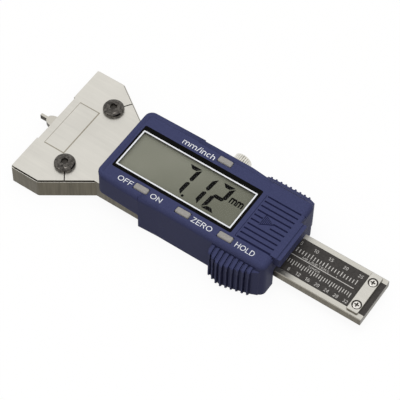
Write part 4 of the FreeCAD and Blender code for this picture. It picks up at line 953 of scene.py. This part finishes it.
def floor_material():
    """Pale floor: near white with a faint shadow to the eye, metal and glass; warm in its soft bounce."""
    mat, nodes, links, shader = new_material("floor")
    nodes.remove(shader)
    pale = nodes.new("ShaderNodeBsdfDiffuse")
    pale.inputs["Color"].default_value = (0.95, 0.95, 0.95, 1)
    glow = nodes.new("ShaderNodeEmission")
    glow.inputs["Color"].default_value = (1, 1, 1, 1)
    glow.inputs["Strength"].default_value = 1.0
    seen = nodes.new("ShaderNodeMixShader")
    seen.inputs["Fac"].default_value = 0.90
    links.new(pale.outputs["BSDF"], seen.inputs[1])
    links.new(glow.outputs["Emission"], seen.inputs[2])
    bounce = nodes.new("ShaderNodeBsdfDiffuse")
    bounce.inputs["Color"].default_value = (0.29, 0.245, 0.20, 1)
    mixer = nodes.new("ShaderNodeMixShader")
    links.new(sight_value(nodes, links), mixer.inputs["Fac"])
    links.new(bounce.outputs["BSDF"], mixer.inputs[1])
    links.new(seen.outputs["Shader"], mixer.inputs[2])
    links.new(mixer.outputs["Shader"], nodes["Material Output"].inputs["Surface"])
    return mat


floor = plane("floor", 3.0, -0.00005)
floor.data.materials.append(floor_material())


def area_light(name, place, target, size, power, color=(1, 1, 1)):
    data = bpy.data.lights.new(name, "AREA")
    data.shape = "DISK"
    data.size = size
    data.energy = power
    data.color = color
    obj = bpy.data.objects.new(name, data)
    obj.location = place
    obj.rotation_euler = (Vector(target) - Vector(place)).to_track_quat("-Z", "Y").to_euler()
    bpy.context.collection.objects.link(obj)
    return obj


overhead = area_light("overhead", (0.12, -0.05, 0.95), (0.05, 0, 0), 0.6, 3.6, (1.0, 0.99, 0.97))
overhead.visible_glossy = False
glint = area_light("glint", (0.14, -0.13, 0.95), (0.012, 0, 0), 0.25, 0.75)
glint.visible_diffuse = False
area_light("side", (-0.25, -0.60, 0.38), (0.06, 0, 0), 0.16, 0.26, (1.0, 0.98, 0.95))


def world_light():
    """Soft room: bright overhead and dim towards the horizon; the eye and metal see a white backdrop."""
    world = bpy.data.worlds.new("room")
    bpy.context.scene.world = world
    world.use_nodes = True
    nodes, links = world.node_tree.nodes, world.node_tree.links
    coord = nodes.new("ShaderNodeTexCoord")
    split = nodes.new("ShaderNodeSeparateXYZ")
    ramp = nodes.new("ShaderNodeValToRGB")
    stops = ramp.color_ramp.elements
    stops[0].position, stops[0].color = 0.0, (0.13, 0.12, 0.11, 1)
    stops[1].position, stops[1].color = 0.85, (0.95, 0.95, 0.95, 1)
    middle = stops.new(0.35)
    middle.color = (0.25, 0.235, 0.22, 1)
    links.new(coord.outputs["Generated"], split.inputs["Vector"])
    links.new(split.outputs["Z"], ramp.inputs["Fac"])
    links.new(ramp.outputs["Color"], nodes["Background"].inputs["Color"])
    backdrop = nodes.new("ShaderNodeBackground")
    backdrop.inputs["Color"].default_value = (1, 1, 1, 1)
    mixer = nodes.new("ShaderNodeMixShader")
    links.new(sight_value(nodes, links), mixer.inputs["Fac"])
    links.new(nodes["Background"].outputs["Background"], mixer.inputs[1])
    links.new(backdrop.outputs["Background"], mixer.inputs[2])
    links.new(mixer.outputs["Shader"], nodes["World Output"].inputs["Surface"])


world_light()


# ---------------------------------------------------------------- camera

TARGET, DISTANCE = (52.812, 0.181, 6.64), 535.309
FOCAL_PIXELS, PHOTO_PIXELS, SENSOR = 1818.323, 400, 36.0


def camera():
    """Camera at the photograph's view, solved from the scale's ticks and the gauge's straight edges."""
    azimuth, elevation, roll = (math.radians(a) for a in (33.01, 55.535, 1.555))
    back = Vector((math.sin(azimuth) * math.cos(elevation), -math.cos(azimuth) * math.cos(elevation),
                   math.sin(elevation)))
    right = Vector((math.cos(azimuth), math.sin(azimuth), 0))
    up = back.cross(right)
    x = right * math.cos(roll) + up * math.sin(roll)
    y = up * math.cos(roll) - right * math.sin(roll)
    place = Vector(TARGET) * MM + back * DISTANCE * MM
    data = bpy.data.cameras.new("camera")
    data.sensor_width = SENSOR
    data.lens = FOCAL_PIXELS / PHOTO_PIXELS * SENSOR
    data.clip_start = 0.01
    obj = bpy.data.objects.new("camera", data)
    obj.matrix_world = Matrix((x, y, back)).transposed().to_4x4()
    obj.location = place
    bpy.context.collection.objects.link(obj)
    bpy.context.scene.camera = obj


camera()
bpy.context.scene.view_settings.view_transform = "Standard"
